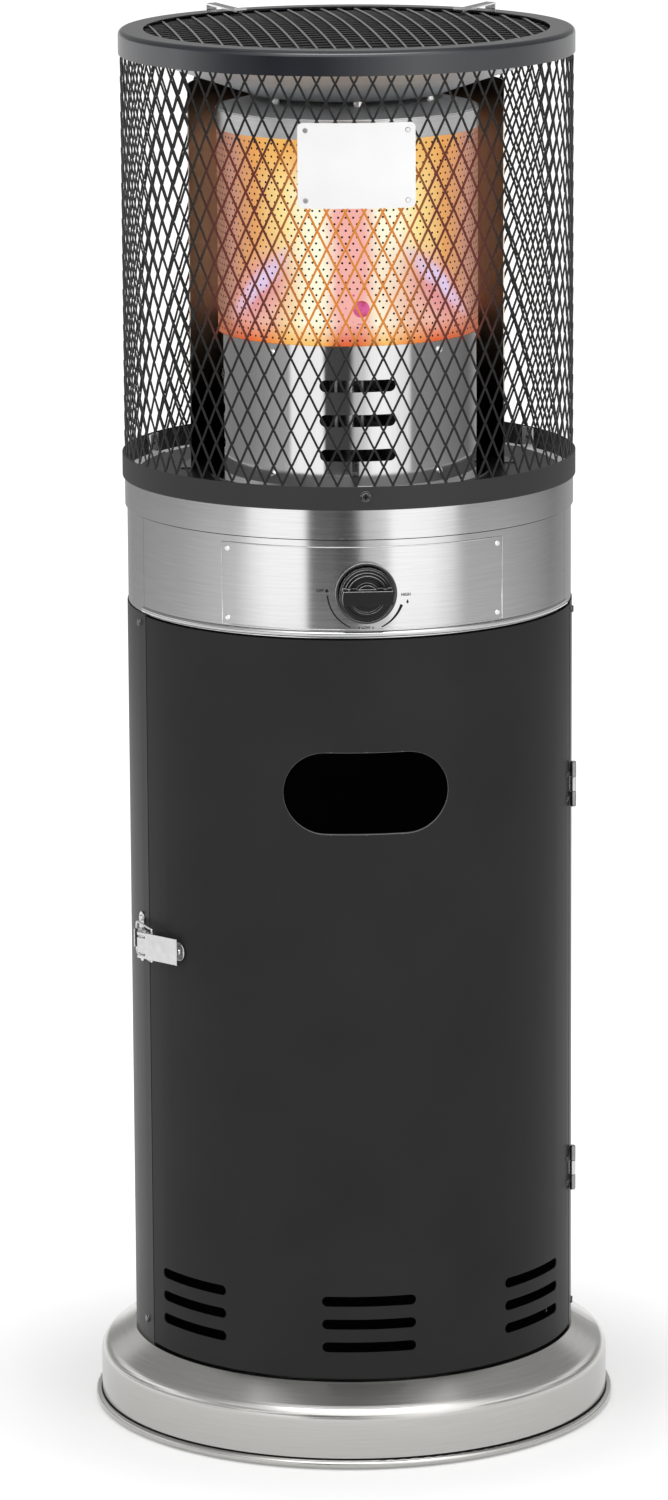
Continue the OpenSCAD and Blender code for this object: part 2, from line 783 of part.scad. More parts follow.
emitter_r = burner_inner_r - seat_gap;
emitter_t = 0.8;
emitter_low = burner_top - emitter_lap;
emitter_top = burner_top + emitter_h;
view_rise = 35;
view_z = burner_top + view_rise;
emitter_cut = 4;
module emitter_screen() {
    color(glow_orange) difference() {
        tube(emitter_r, emitter_r - emitter_t, emitter_low, emitter_h + 2*emitter_lap);
        on_wall(view_angle, emitter_r - emitter_cut, view_z) cylinder(r = view_r, h = emitter_cut + cut);
        for (a = burner_screw_angles)
            on_wall(a, emitter_r - emitter_cut, burner_screw_z[1])
                cylinder(r = screw_hole_r, h = emitter_cut + cut);
    }
}

lid_z = emitter_top + emitter_collar_h;
collar_lip_w = 14;
module emitter_collar() {
    color(stainless) {
        tube(burner_r, burner_inner_r, emitter_top, emitter_collar_h);
        tube(burner_inner_r + fuse, burner_r - collar_lip_w, lid_z - steel_t, steel_t);
    }
}

spacer_inset = 8;
spacer_place = pan_bottom_r - spacer_inset;
spacer_count = 6;
spacer_step = 360/spacer_count;
spacer_start = 3;
spacer_r = 5;
lid_inset = 2;
lid_r = burner_r - lid_inset;
lid_rim_w = 4;
lid_foot_r = lid_r - lid_rim_w;
lid_top_r = pan_bottom_r - steel_t/2;
lid_rise = 8;

// Lid of the emitter: a dished sheet with a flat rim and a flat top
module emitter_lid() {
    color(stainless) translate([0, 0, lid_z]) difference() {
        rotate_extrude() polygon([
            [0, lid_rise], [lid_top_r, lid_rise], [lid_foot_r, 0], [lid_r, 0], [lid_r, steel_t],
            [lid_foot_r, steel_t], [lid_top_r, lid_rise + steel_t], [0, lid_rise + steel_t]]);
        for (i = [0 : spacer_count - 1]) at(spacer_start + i*spacer_step)
            translate([0, -spacer_place, lid_rise - cut]) cylinder(r = screw_hole_r, h = steel_t + 2*cut);
    }
}

spacer_low = lid_z + lid_rise + steel_t;
pan_z = spacer_low + spacer_h;
module pan_spacers() {
    color(zinc) for (i = [0 : spacer_count - 1]) at(spacer_start + i*spacer_step)
        translate([0, -spacer_place, spacer_low]) {
            cylinder(r = spacer_r, h = spacer_h);
            translate([0, 0, -steel_t]) cylinder(r = screw_shank_r, h = steel_t + spacer_h + steel_t);
        }
}

// Deflector pan: a shallow cone whose upright collar carries the grille's rim
pan_rim_z = pan_z + pan_h;
pan_collar_top = rim_wire_z - rim_wire_r - layer_gap;
module deflector_pan() {
    color(slate_paint) difference() {
        rotate_extrude() polygon([
            [0, pan_z], [pan_bottom_r, pan_z], [grille_rim_r + steel_t/2, pan_rim_z],
            [grille_rim_r + steel_t/2, pan_collar_top], [grille_rim_r - steel_t/2, pan_collar_top],
            [grille_rim_r - steel_t/2, pan_rim_z + steel_t/2], [pan_bottom_r - steel_t/4, pan_z + steel_t],
            [0, pan_z + steel_t]]);
        for (i = [0 : spacer_count - 1]) at(spacer_start + i*spacer_step)
            translate([0, -spacer_place, pan_z - cut]) cylinder(r = screw_hole_r, h = steel_t + 2*cut);
    }
}

pan_nut_r = 4.5;
pan_nut_h = 4;
module pan_screws() {
    color(zinc) for (i = [0 : spacer_count - 1]) at(spacer_start + i*spacer_step)
        translate([0, -spacer_place, pan_z + steel_t]) cylinder(r = pan_nut_r, h = pan_nut_h, $fn = 6);
}

reflector_from = 95;
reflector_to = 265;
reflector_foot_w = 10;
module rear_reflector() {
    color(stainless) {
        sector(reflector_r, reflector_r - steel_t, deck_z, reflector_h, reflector_from, reflector_to);
        sector(reflector_r + reflector_foot_w, reflector_r - fuse, deck_z, steel_t,
               reflector_from, reflector_to);
    }
}

// Guard: bottom ring with brackets and screws, and the expanded mesh
guard_screw_z = ring_z + ring_h/2 + ring_drop;
guard_screw_angles = [0, 120, 240];
guard_bracket_gap = 0.9;
guard_bracket_r = mesh_inner_r - guard_bracket_gap;
module guard_bottom_ring() {
    color(black_paint) difference() {
        tube(ring_r, ring_inner_r, ring_z, ring_h);
        for (a = guard_screw_angles)
            on_wall(a, ring_inner_r - cut, guard_screw_z) cylinder(r = screw_hole_r, h = ring_t + 2*cut);
    }
}

guard_bracket_t = 2;
guard_bracket_w = 16;
guard_bracket_foot = guard_bracket_r - head_floor_r - 2*seat_gap;
module guard_brackets() {
    color(zinc) for (a = guard_screw_angles) at(a) difference() {
        translate([-guard_bracket_w/2, -guard_bracket_r, floor_z]) {
            cube([guard_bracket_w, guard_bracket_t, ring_top - floor_z]);
            cube([guard_bracket_w, guard_bracket_foot, guard_bracket_t]);
        }
        translate([0, cut - guard_bracket_r + guard_bracket_t, guard_screw_z]) rotate([90, 0, 0])
            cylinder(r = screw_hole_r, h = guard_bracket_t + 2*cut);
    }
}

guard_head_r = 5;
guard_head_h = 3;
module guard_screws() {
    color(zinc) for (a = guard_screw_angles)
        on_wall(a, ring_r, guard_screw_z)
            screw(guard_head_r, guard_head_h, shank = ring_r - guard_bracket_r + guard_bracket_t);
}

// Each strand lies on a prism with flat sides, so that it keeps to its own layer
mesh_sides = 36;
side_angle = 360/mesh_sides;
mesh_foot_gap = 3;
mesh_head_gap = 4;
mesh_low = deck_z + mesh_foot_gap;
mesh_high = cap_top - sheet_t - mesh_head_gap;
mesh_step = 360/mesh_count;
mesh_turn = mesh_step/mesh_pitch;
function wrap(a) = a - side_angle*floor(a/side_angle);
function prism_r(r, a) = r*cos(side_angle/2)/cos(wrap(a) - side_angle/2);
function prism_point(r, a, z) = [prism_r(r, a)*sin(a), -prism_r(r, a)*cos(a), z];
function strand_angles(from, to) = concat(
    [from], [for (k = [floor(from/side_angle) + 1 : ceil(to/side_angle) - 1]) k*side_angle], [to]);
strand_lean = atan2(2*PI*mesh_r/mesh_count, mesh_pitch);
strand_rise = strand_w/sin(strand_lean)/2;

// One strand from angle a at the bottom, turning one way or the other up the guard
module strand(a, way, r) {
    low = mesh_low + strand_rise;
    high = mesh_high - strand_rise;
    span = (high - low)*mesh_turn;
    angles = strand_angles(way > 0 ? a : a - span, way > 0 ? a + span : a);
    rings = len(angles);
    heights = [for (b = angles) low + abs(b - a)/mesh_turn];
    points = [for (i = [0 : rings - 1]) let (b = angles[i], z = heights[i]) each [
        prism_point(r - strand_t, b, z - strand_rise), prism_point(r, b, z - strand_rise),
        prism_point(r, b, z + strand_rise), prism_point(r - strand_t, b, z + strand_rise)]];
    sides = [for (i = [0 : rings - 2]) for (k = [0 : 3]) let (n = (k + 1) % 4) each [
        [4*i + k, 4*i + n, 4*i + 4 + n], [4*i + k, 4*i + 4 + n, 4*i + 4 + k]]];
    last = 4*(rings - 1);
    ends = [[0, 2, 1], [0, 3, 2], [last, last + 1, last + 2], [last, last + 2, last + 3]];
    polyhedron(points, concat(sides, ends));
}

// The strands are placed so that a gap between them meets each guard screw
mesh_start = mesh_step/2 + (guard_screw_z - mesh_low - strand_rise)*mesh_turn;
module guard_mesh() {
    color(mesh_black) for (i = [0 : mesh_count - 1]) {
        strand(i*mesh_step - mesh_start, 1, mesh_r - strand_t - layer_gap);
        strand(i*mesh_step + mesh_start, -1, mesh_r);
    }
}

sign_z = ring_top + sign_rise + sign_h/2;
sign_r = mesh_r + seat_gap;
sign_inset = 7;
sign_cut = 12;
function eyelet_angle(side) = sign_angle + side*arc_angle(sign_w/2 - sign_inset, sign_r);
function eyelet_z(side) = sign_z + side*(sign_h/2 - sign_inset);
module guard_plate() {
    color(plate_white) difference() {
        intersection() {
            tube(sign_r + plate_t, sign_r, sign_z - sign_h, 2*sign_h);
            through(sign_angle, sign_r - sign_cut, sign_r + plate_t + cut, sign_z)
                rounded_plate(sign_w, sign_h, sign_corner);
        }
        for (x = [-1, 1]) for (y = [-1, 1])
            on_wall(eyelet_angle(x), sign_r - cut, eyelet_z(y))
                cylinder(r = rivet_hole_r, h = plate_t + 2*cut);
    }
}

module plate_eyelets() {
    color(zinc) for (x = [-1, 1]) for (y = [-1, 1])
        on_wall(eyelet_angle(x), sign_r + plate_t, eyelet_z(y))
            screw(rivet_r, rivet_h, rivet_shank_r, plate_t);
}

// Cap ring: a turned-over channel with a rounded edge
module cap_ring() {
    color(slate_paint) rotate_extrude() polygon(concat(
        [[cap_r, cap_z]],
        arc_points(cap_r - cap_round, cap_top - cap_round, cap_round, 0, 90),
        [[cap_edge_r, cap_top], [cap_edge_r, cap_top - sheet_t]],
        arc_points(cap_r - cap_round, cap_top - cap_round, cap_round - sheet_t, 90, 0),
        [[cap_r - sheet_t, cap_z]]));
}

// Grille: domed wires on a rim wire under the cap ring's flange
dome_r = grille_rim_r*grille_rim_r/2/dome_h;
wire_edge_gap = 4;
wire_side_count = floor((cap_edge_r - wire_edge_gap)/wire_pitch);

module grille_rim() {
    color(mesh_black) translate([0, 0, rim_wire_z])
        rotate_extrude() translate([grille_rim_r, 0]) circle(r = rim_wire_r);
}

// One family of parallel wires, each a shallow arc of the dome
module domed_wires(r, edge_z) {
    for (i = [-wire_side_count : wire_side_count]) {
        d = i*wire_pitch;
        half = sqrt(grille_rim_r*grille_rim_r - d*d) + rim_wire_r/2;
        turn = 2*asin(half/dome_r);
        translate([d, 0, edge_z + dome_rise(d) - dome_r]) rotate([0, -90, 0]) rotate([0, 0, -turn/2])
            rotate_extrude(angle = turn, $fn = 720) translate([dome_r, 0]) circle(r = r, $fn = 24);
    }
}

module grille_long_wires() {
    color(mesh_black) at(grille_turn) domed_wires(wire_r, long_edge_z);
}

module grille_cross_wires() {
    color(mesh_black) at(grille_turn + 90) domed_wires(cross_r, cross_edge_z);
}

// Clips: sprung straps over the cap ring, folded down its outside and curled at the grille's end
clip_t = 1.5;
clip_drop = 12;
clip_out_r = cap_r + layer_gap + clip_t;
clip_curl_r = 2.2;
clip_curl_low = 0.5;
clip_clear = 1.2;
clip_wire_top = long_edge_z + dome_rise(clip_out_r - clip_len) + wire_r;
clip_rise = max(clip_wire_top - cap_top, 0) + clip_clear + clip_len*sin(clip_tilt_angle);
module grille_clips() {
    color(zinc) for (side = [-1, 1]) at(clip_middle_angle + side*clip_half_angle)
        translate([-clip_w/2, -clip_out_r, cap_top]) {
            translate([0, 0, clip_rise]) rotate([-clip_tilt_angle, 0, 0]) {
                cube([clip_w, clip_len, clip_t]);
                translate([0, clip_len, clip_curl_r - clip_curl_low]) rotate([0, 90, 0])
                    cylinder(r = clip_curl_r, h = clip_w);
            }
            translate([0, 0, -clip_drop]) cube([clip_w, clip_t, clip_drop + clip_rise + clip_t/2]);
        }
}

// Hinges: leaves that pass through the seam and lie inside, turning on a pin
hinge_r = body_r + barrel_out;
knuckle_gap = 0.8;
knuckle_h = (hinge_h - 2*knuckle_gap)/3;
function knuckle_low(z, k) = z + k*(knuckle_h + knuckle_gap) - knuckle_h/2;
leaf_r = inner_r - seat_gap;
leaf_clear = 0.25;
leaf_near = arc_angle(leaf_clear + leaf_t/3, leaf_r);
leaf_far = arc_angle(hinge_gap + leaf_w, body_r);
web_gap = 0.4;
web_out_r = hinge_r - hinge_pin_r - web_gap;
web_sink = 0.8*leaf_t;
web_in_r = leaf_r - web_sink;
leaf_rivet_inset = 9;
leaf_rivet_z = hinge_h/2 - leaf_rivet_inset;
leaf_rivet_r = 1.7;
leaf_hole_r = leaf_rivet_r + seat_gap;
function leaf_rivet_angle(side) = hinge_seam + side*arc_angle(hinge_gap + leaf_w/2, body_r);

module leaf_rivet_holes(side, z) {
    for (y = [-1, 1]) on_wall(leaf_rivet_angle(side), leaf_r - leaf_t - cut, z + y*leaf_rivet_z)
        cylinder(r = leaf_hole_r, h = leaf_t + sheet_t + seat_gap + 2*cut);
}

// One leaf: side -1 lies on the door, +1 on the housing, with knuckles at the given heights
module hinge_leaf(side, z, knuckles) {
    difference() {
        union() {
            at(hinge_seam) for (k = knuckles) translate([0, 0, knuckle_low(z, k)]) {
                translate([0, -hinge_r, 0]) cylinder(r = barrel_r, h = knuckle_h);
                translate([side > 0 ? leaf_clear : -leaf_clear - leaf_t, -web_out_r, 0])
                    cube([leaf_t, web_out_r - web_in_r, knuckle_h]);
            }
            sector(leaf_r, leaf_r - leaf_t, z - hinge_h/2, hinge_h,
                   hinge_seam + (side > 0 ? leaf_near : -leaf_far),
                   hinge_seam + (side > 0 ? leaf_far : -leaf_near));
        }
        at(hinge_seam) translate([0, -hinge_r, z - hinge_h])
            cylinder(r = hinge_pin_r + run_play, h = 2*hinge_h);
        leaf_rivet_holes(side, z);
    }
}

module hinge_leaves_housing() {
    color(zinc) for (z = [hinge_low, hinge_high]) hinge_leaf(1, z, [-1, 1]);
}

module hinge_leaves_door() {
    color(zinc) for (z = [hinge_low, hinge_high]) hinge_leaf(-1, z, [0]);
}

pin_head_h = 1.1;
pin_head_step = 0.3;
module hinge_pins() {
    color(zinc) for (z = [hinge_low, hinge_high]) at(hinge_seam) translate([0, -hinge_r, z - hinge_h/2]) {
        for (end = [-layer_gap - pin_head_h, hinge_h + layer_gap]) translate([0, 0, end])
            cylinder(r = barrel_r - pin_head_step, h = pin_head_h);
        translate([0, 0, -2*layer_gap]) cylinder(r = hinge_pin_r, h = hinge_h + 4*layer_gap);
    }
}

// Door: sheet with its hand slot, vents, flanges and the lip at the latch seam
door_h = door_top - door_low;
flange_end_gap = 6;
flange_end = door_right - arc_angle(leaf_w + flange_end_gap, body_r);
latch_rivet_s = [-11, 10];
hand_cut = 20;
vent_cut = 10;
latch_rivet_cut = 8;
module door_panel() {
    color(black_paint) difference() {
        union() {
            sector(body_r, inner_r, door_low, door_h, door_left, door_right);
            for (z = [door_low, door_top - sheet_t])
                sector(inner_r + fuse, inner_r - flange_w, z, sheet_t, door_left, flange_end);
            at(door_left) translate([0, -inner_r - sheet_t/2, door_low + sheet_t/2])
                cube([sheet_t, lip_w, door_h - sheet_t]);
        }
        through(0, inner_r - hand_cut, body_r + cut, hand_z) stadium(hand_w, hand_h);
        for (group = [-1, 0, 1]) for (row = [0 : vent_rows - 1])
            through(group*vent_step, inner_r - vent_cut, body_r + cut, vent_z + row*vent_pitch)
                stadium(vent_w, vent_h);
        for (z = [hinge_low, hinge_high]) leaf_rivet_holes(-1, z);
        for (s = latch_rivet_s) latch_frame() translate([s, -latch_rivet_cut, 0]) rotate([-90, 0, 0])
            cylinder(r = leaf_hole_r, h = latch_rivet_cut + cut);
    }
}

door_rivet_r = 3;
door_rivet_h = 1.3;
module door_rivets() {
    color(rubber_black) for (z = [hinge_low, hinge_high]) for (y = [-1, 1])
        on_wall(leaf_rivet_angle(-1), body_r, z + y*leaf_rivet_z)
            screw(door_rivet_r, door_rivet_h, leaf_rivet_r, sheet_t + seat_gap + leaf_t);
    color(zinc) for (s = latch_rivet_s) latch_frame()
        translate([s, base_plate_n + latch_t, 0]) rotate([-90, 0, 0])
            screw(door_rivet_r, door_rivet_h, leaf_rivet_r, latch_t + sheet_t);
}

// Draw latch. In its frame +X runs along the wall towards the strike and +Y points outwards
module latch_frame() {
    at(latch_angle) translate([0, -body_r, latch_z]) rotate([0, 0, 180]) children();
}

base_plate_n = 0.05;
base_plate_half = 9;
base_plate_end = 20;
ear_r = 3.6;
ear_gap = 1.2;
ear_in = lever_h/2 - 2*latch_t - ear_gap;
module latch_base() {
    color(zinc) latch_frame() difference() {
        union() {
            translate([0, base_plate_n + latch_t, 0]) rotate([90, 0, 0]) linear_extrude(latch_t) {
                translate([base_plate_half - base_plate_end, -base_plate_half])
                    square([base_plate_end - base_plate_half + pivot_s + ear_r, 2*base_plate_half]);
                translate([base_plate_half - base_plate_end, 0]) circle(r = base_plate_half);
            }
            for (low = [ear_in - latch_t, -ear_in]) translate([0, 0, low]) linear_extrude(latch_t) {
                translate([pivot_s - ear_r, base_plate_n]) square([2*ear_r, pivot_n - base_plate_n]);
                translate([pivot_s, pivot_n]) circle(r = ear_r);
            }
            translate([pivot_s - ear_r, base_plate_n, -ear_in]) cube([2*ear_r, latch_t, 2*ear_in]);
        }
        translate([pivot_s, pivot_n, -lever_h]) cylinder(r = latch_pin_r + run_play, h = 2*lever_h);
        for (s = latch_rivet_s) translate([s, -cut, 0]) rotate([-90, 0, 0])
            cylinder(r = leaf_hole_r, h = latch_t + 2*cut);
    }
}

// The lever's own frame: origin at its pivot, +X towards its free end, +Y outwards
module lever_frame() {
    latch_frame() translate([pivot_s, pivot_n, 0]) rotate([0, 0, lever_slope])
        mirror([1, 0, 0]) children();
}

lever_back = 5;
lever_web = 4;
lever_flange_len = 15;
lever_flange_low = 3;
lever_corner = 2;
lever_curl = 3;
lever_curl_angle = 60;
ear_slot_end = 5;
ear_slot_gap = 0.6;
bail_offset = 0.5;
module latch_lever() {
    color(zinc) lever_frame() difference() {
        union() {
            translate([-lever_back, lever_web, -lever_h/2]) cube([lever_len - lever_curl, latch_t, lever_h]);
            translate([lever_len - lever_back - lever_curl, lever_web + lever_curl, -lever_h/2])
                rotate([0, 0, -90]) rotate_extrude(angle = lever_curl_angle)
                    translate([lever_curl - latch_t, 0]) square([latch_t, lever_h]);
            for (low = [lever_h/2 - latch_t, -lever_h/2]) translate([0, 0, low]) linear_extrude(latch_t)
                polygon([[-lever_back, lever_web + latch_t/2], [-lever_back, lever_corner - lever_flange_low],
                         [lever_corner - lever_back, -lever_flange_low],
                         [lever_flange_len - 2*lever_corner, -lever_flange_low],
                         [lever_flange_len + 3*lever_corner, lever_web + latch_t/2]]);
        }
        for (low = [ear_in - latch_t, -ear_in])
            translate([-lever_back - cut, lever_web - cut, low - ear_slot_gap])
                cube([lever_back + cut + ear_slot_end, latch_t + 2*cut, latch_t + 2*ear_slot_gap]);
        translate([0, 0, -lever_h]) cylinder(r = latch_pin_r + run_play, h = 2*lever_h);
        translate([bail_arm, -bail_offset, -lever_h]) cylinder(r = bail_r + run_play, h = 2*lever_h);
    }
}

latch_head_step = 1;
latch_head_r = latch_pin_r + latch_head_step;
latch_head_h = 0.9;
module latch_pin() {
    color(zinc) lever_frame() {
        translate([0, 0, -lever_h/2 - 2*layer_gap]) cylinder(r = latch_pin_r, h = lever_h + 4*layer_gap);
        for (low = [lever_h/2 + layer_gap, -lever_h/2 - layer_gap - latch_head_h]) translate([0, 0, low])
            cylinder(r = latch_head_r, h = latch_head_h);
    }
}

// Where the bail turns on the lever, and where its far wire lies behind the strike's hook
bail_pivot = [pivot_s - bail_arm*cos(lever_slope) + bail_offset*sin(lever_slope),
              pivot_n - bail_arm*sin(lever_slope) - bail_offset*cos(lever_slope)];
strike_s = -body_r*sin(latch_seam - latch_angle) + strike_offset;
strike_angle = latch_angle - asin(strike_s/body_r);
strike_wall_n = body_r*cos(latch_angle - strike_angle) - body_r;
hook_t = 1.7;
hook_clear = 0.7;
wire_rise = 5.5;
wire_end = [strike_s + hook_t/2 + hook_clear + bail_r, strike_wall_n + wire_rise];
bail_len = norm(wire_end - bail_pivot);
bail_lean = atan2(wire_end[1] - bail_pivot[1], wire_end[0] - bail_pivot[0]);
bail_gap = 1.6;
bail_half = lever_h/2 + bail_r + bail_gap;
bail_bend = 4;
bail_ear_gap = 1.4;
bail_end = ear_in + bail_ear_gap;
module latch_bail() {
    color(zinc) latch_frame() translate([bail_pivot[0], bail_pivot[1], 0]) rotate([0, 0, bail_lean]) {
        for (low = [bail_end, -bail_half]) translate([0, 0, low])
            cylinder(r = bail_r, h = bail_half - bail_end);
        for (side = [-1, 1]) translate([0, 0, side*bail_half]) {
            sphere(r = bail_r);
            rotate([0, 90, 0]) cylinder(r = bail_r, h = bail_len - bail_bend);
            translate([bail_len - bail_bend, 0, -side*bail_bend]) rotate([-side*90, 0, 0]) rotate([0, 0, -90])
                rotate_extrude(angle = 90) translate([bail_bend, 0]) circle(r = bail_r);
        }
        translate([bail_len, 0, -bail_half + bail_bend]) cylinder(r = bail_r, h = 2*(bail_half - bail_bend));
    }
}

strike_half_w = 6.5;
strike_screw_z = 18;
strike_t = 1.5;
strike_r = body_r + layer_gap;
hook_half = 9;
hook_root = 0.6;
strike_head_h = 1.6;
module latch_strike() {
    color(zinc) difference() {
        union() {
            on_wall(strike_angle, strike_r, latch_z) linear_extrude(strike_t) rotate([0, 0, 90])
                stadium(2*(strike_screw_z + strike_half_w), 2*strike_half_w);
            latch_frame() translate([strike_s - hook_t/2, strike_wall_n + hook_root, -hook_half])
                cube([hook_t, strike_t + hook_h - hook_root, 2*hook_half]);
        }
        for (side = [-1, 1]) on_wall(strike_angle, body_r - cut, latch_z + side*strike_screw_z)
            cylinder(r = screw_hole_r, h = strike_t + 3*cut);
    }
}

module strike_screws() {
    color(zinc) for (side = [-1, 1]) on_wall(strike_angle, strike_r + strike_t, latch_z + side*strike_screw_z)
        screw(head_h = strike_head_h, shank = layer_gap + strike_t + sheet_t);
}

// Valve plunger, knob and spindle
spindle_depth = 18;
spindle_end = valve_front - spindle_depth;
spindle_back = 1;
spindle_step = valve_front - spindle_back;
push_gap = 1;
plunger_end = valve_front - valve_bore_len + push_travel + push_gap;
module valve_plunger() {
    color(brass) on_wall(0, plunger_end, knob_z)
        cylinder(r = valve_bore_r - run_play, h = spindle_end - plunger_end - layer_gap);
}

knob_back = bezel_floor + push_travel + push_gap;
knob_chamfer = 1.5;
tier_h = 5;
tier_step = 4.5;
tier_r = knob_r - tier_step;
tier_draft = 2;
tier_wall = 5;
tier_floor = 1;
tier_flare = 1;
hub_r = 12;
hub_draft = 1.5;
socket_len = 8;
spindle_in_knob = 6;
module knob() {
    color(plastic_black) on_wall(0, knob_back, knob_z) difference() {
        union() {
            cylinder(r = knob_r, h = knob_disc_t - knob_chamfer);
            translate([0, 0, knob_disc_t - knob_chamfer - fuse])
                cylinder(r1 = knob_r, r2 = knob_r - knob_chamfer, h = knob_chamfer);
            translate([0, 0, knob_disc_t - 2*fuse]) difference() {
                cylinder(r1 = tier_r, r2 = tier_r - tier_draft, h = tier_h);
                translate([0, 0, tier_floor])
                    cylinder(r1 = tier_r - tier_wall, r2 = tier_r - tier_wall + tier_flare, h = tier_h);
            }
            translate([0, 0, knob_disc_t])
                cylinder(r1 = hub_r, r2 = hub_r - hub_draft, h = tier_h + hub_draft);
            intersection() {
                cylinder(r = knob_r - knob_chamfer, h = knob_disc_t + grip_h);
                translate([-knob_r, -grip_w/2, 0]) cube([2*knob_r, grip_w, knob_disc_t + grip_h]);
            }
        }
        translate([0, 0, -cut]) cylinder(r = spindle_r + run_play, h = knob_disc_t + socket_len + cut);
    }
}

module valve_spindle() {
    color(zinc) {
        on_wall(0, spindle_end, knob_z) cylinder(r = valve_bore_r - run_play, h = spindle_step - spindle_end);
        on_wall(0, spindle_step - fuse, knob_z)
            cylinder(r = spindle_r, h = knob_back + knob_disc_t + spindle_in_knob - spindle_step);
    }
}

base_cover();
base_pan();
base_feet();
cylinder_floor();
floor_screws();
rear_housing();
housing_screws();
heat_shield();
tilt_switch();
control_panel_front();
control_panel_rear();
collar_ring();
label_plate();
label_rivets();
knob_bezel();
valve_body();
valve_bracket();
gas_inlet();
gas_pipe();
gas_injector();
burner_venturi();
burner_head();
igniter_electrode();
thermocouple();
head_floor();
burner_housing();
burner_screws();
emitter_screen();
emitter_collar();
emitter_lid();
pan_spacers();
deflector_pan();
pan_screws();
rear_reflector();
guard_bottom_ring();
guard_brackets();
guard_screws();
guard_mesh();
guard_plate();
plate_eyelets();
cap_ring();
grille_rim();
grille_long_wires();
grille_cross_wires();
grille_clips();
hinge_leaves_housing();
hinge_pins();
latch_strike();
strike_screws();
door_panel();
hinge_leaves_door();
door_rivets();
latch_base();
latch_lever();
latch_pin();
latch_bail();
valve_plunger();
knob();
valve_spindle();
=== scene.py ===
"""Looks of the gas patio heater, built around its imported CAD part. Front is -Y, up is +Z, metres."""

import math

import bpy
from mathutils import Matrix, Vector


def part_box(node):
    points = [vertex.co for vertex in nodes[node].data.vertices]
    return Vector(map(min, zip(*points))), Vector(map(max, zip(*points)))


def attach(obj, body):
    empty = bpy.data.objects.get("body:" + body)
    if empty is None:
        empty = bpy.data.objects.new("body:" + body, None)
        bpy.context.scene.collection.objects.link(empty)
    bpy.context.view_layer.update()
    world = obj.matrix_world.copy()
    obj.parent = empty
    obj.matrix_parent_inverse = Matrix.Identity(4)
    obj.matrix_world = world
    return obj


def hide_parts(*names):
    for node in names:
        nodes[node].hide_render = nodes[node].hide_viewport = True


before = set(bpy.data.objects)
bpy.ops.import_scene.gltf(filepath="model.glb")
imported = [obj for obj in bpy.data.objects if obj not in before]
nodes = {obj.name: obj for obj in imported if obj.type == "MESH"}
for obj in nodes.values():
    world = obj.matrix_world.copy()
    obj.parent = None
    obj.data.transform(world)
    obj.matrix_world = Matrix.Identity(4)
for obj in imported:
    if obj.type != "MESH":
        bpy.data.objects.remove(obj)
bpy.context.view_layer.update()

MM = 0.001
FULL_TURN = 2 * math.pi

# Camera, fitted to the photo's circles and upright edges
PHOTO_HEIGHT = 1500
FOCAL_PIXELS = 6648.7
SENSOR_MM = 36.0
CLIP_END = 200.0
CAMERA_AZIMUTH = math.radians(-3.9)
CAMERA_PLACE = Vector((-0.01605, -6.3082, 2.0065))
CAMERA_PITCH = math.radians(12.15)
CAMERA_ROLL = math.radians(-0.351)


def linear(red, green, blue):
    """A colour as it is seen on a screen, from 0 to 255, in the renderer's linear scale by the sRGB curve."""
    def channel(value):
        share = value / 255
        return share / 12.92 if share <= 0.04045 else ((share + 0.055) / 1.055) ** 2.4

    return channel(red), channel(green), channel(blue), 1.0


def grey(value):
    return linear(value, value, value)


# Materials
NO = (0, 0, 0, 1)
YES = (1, 1, 1, 1)
WHITE = (1, 1, 1, 1)
EDGE_SAMPLES = 6


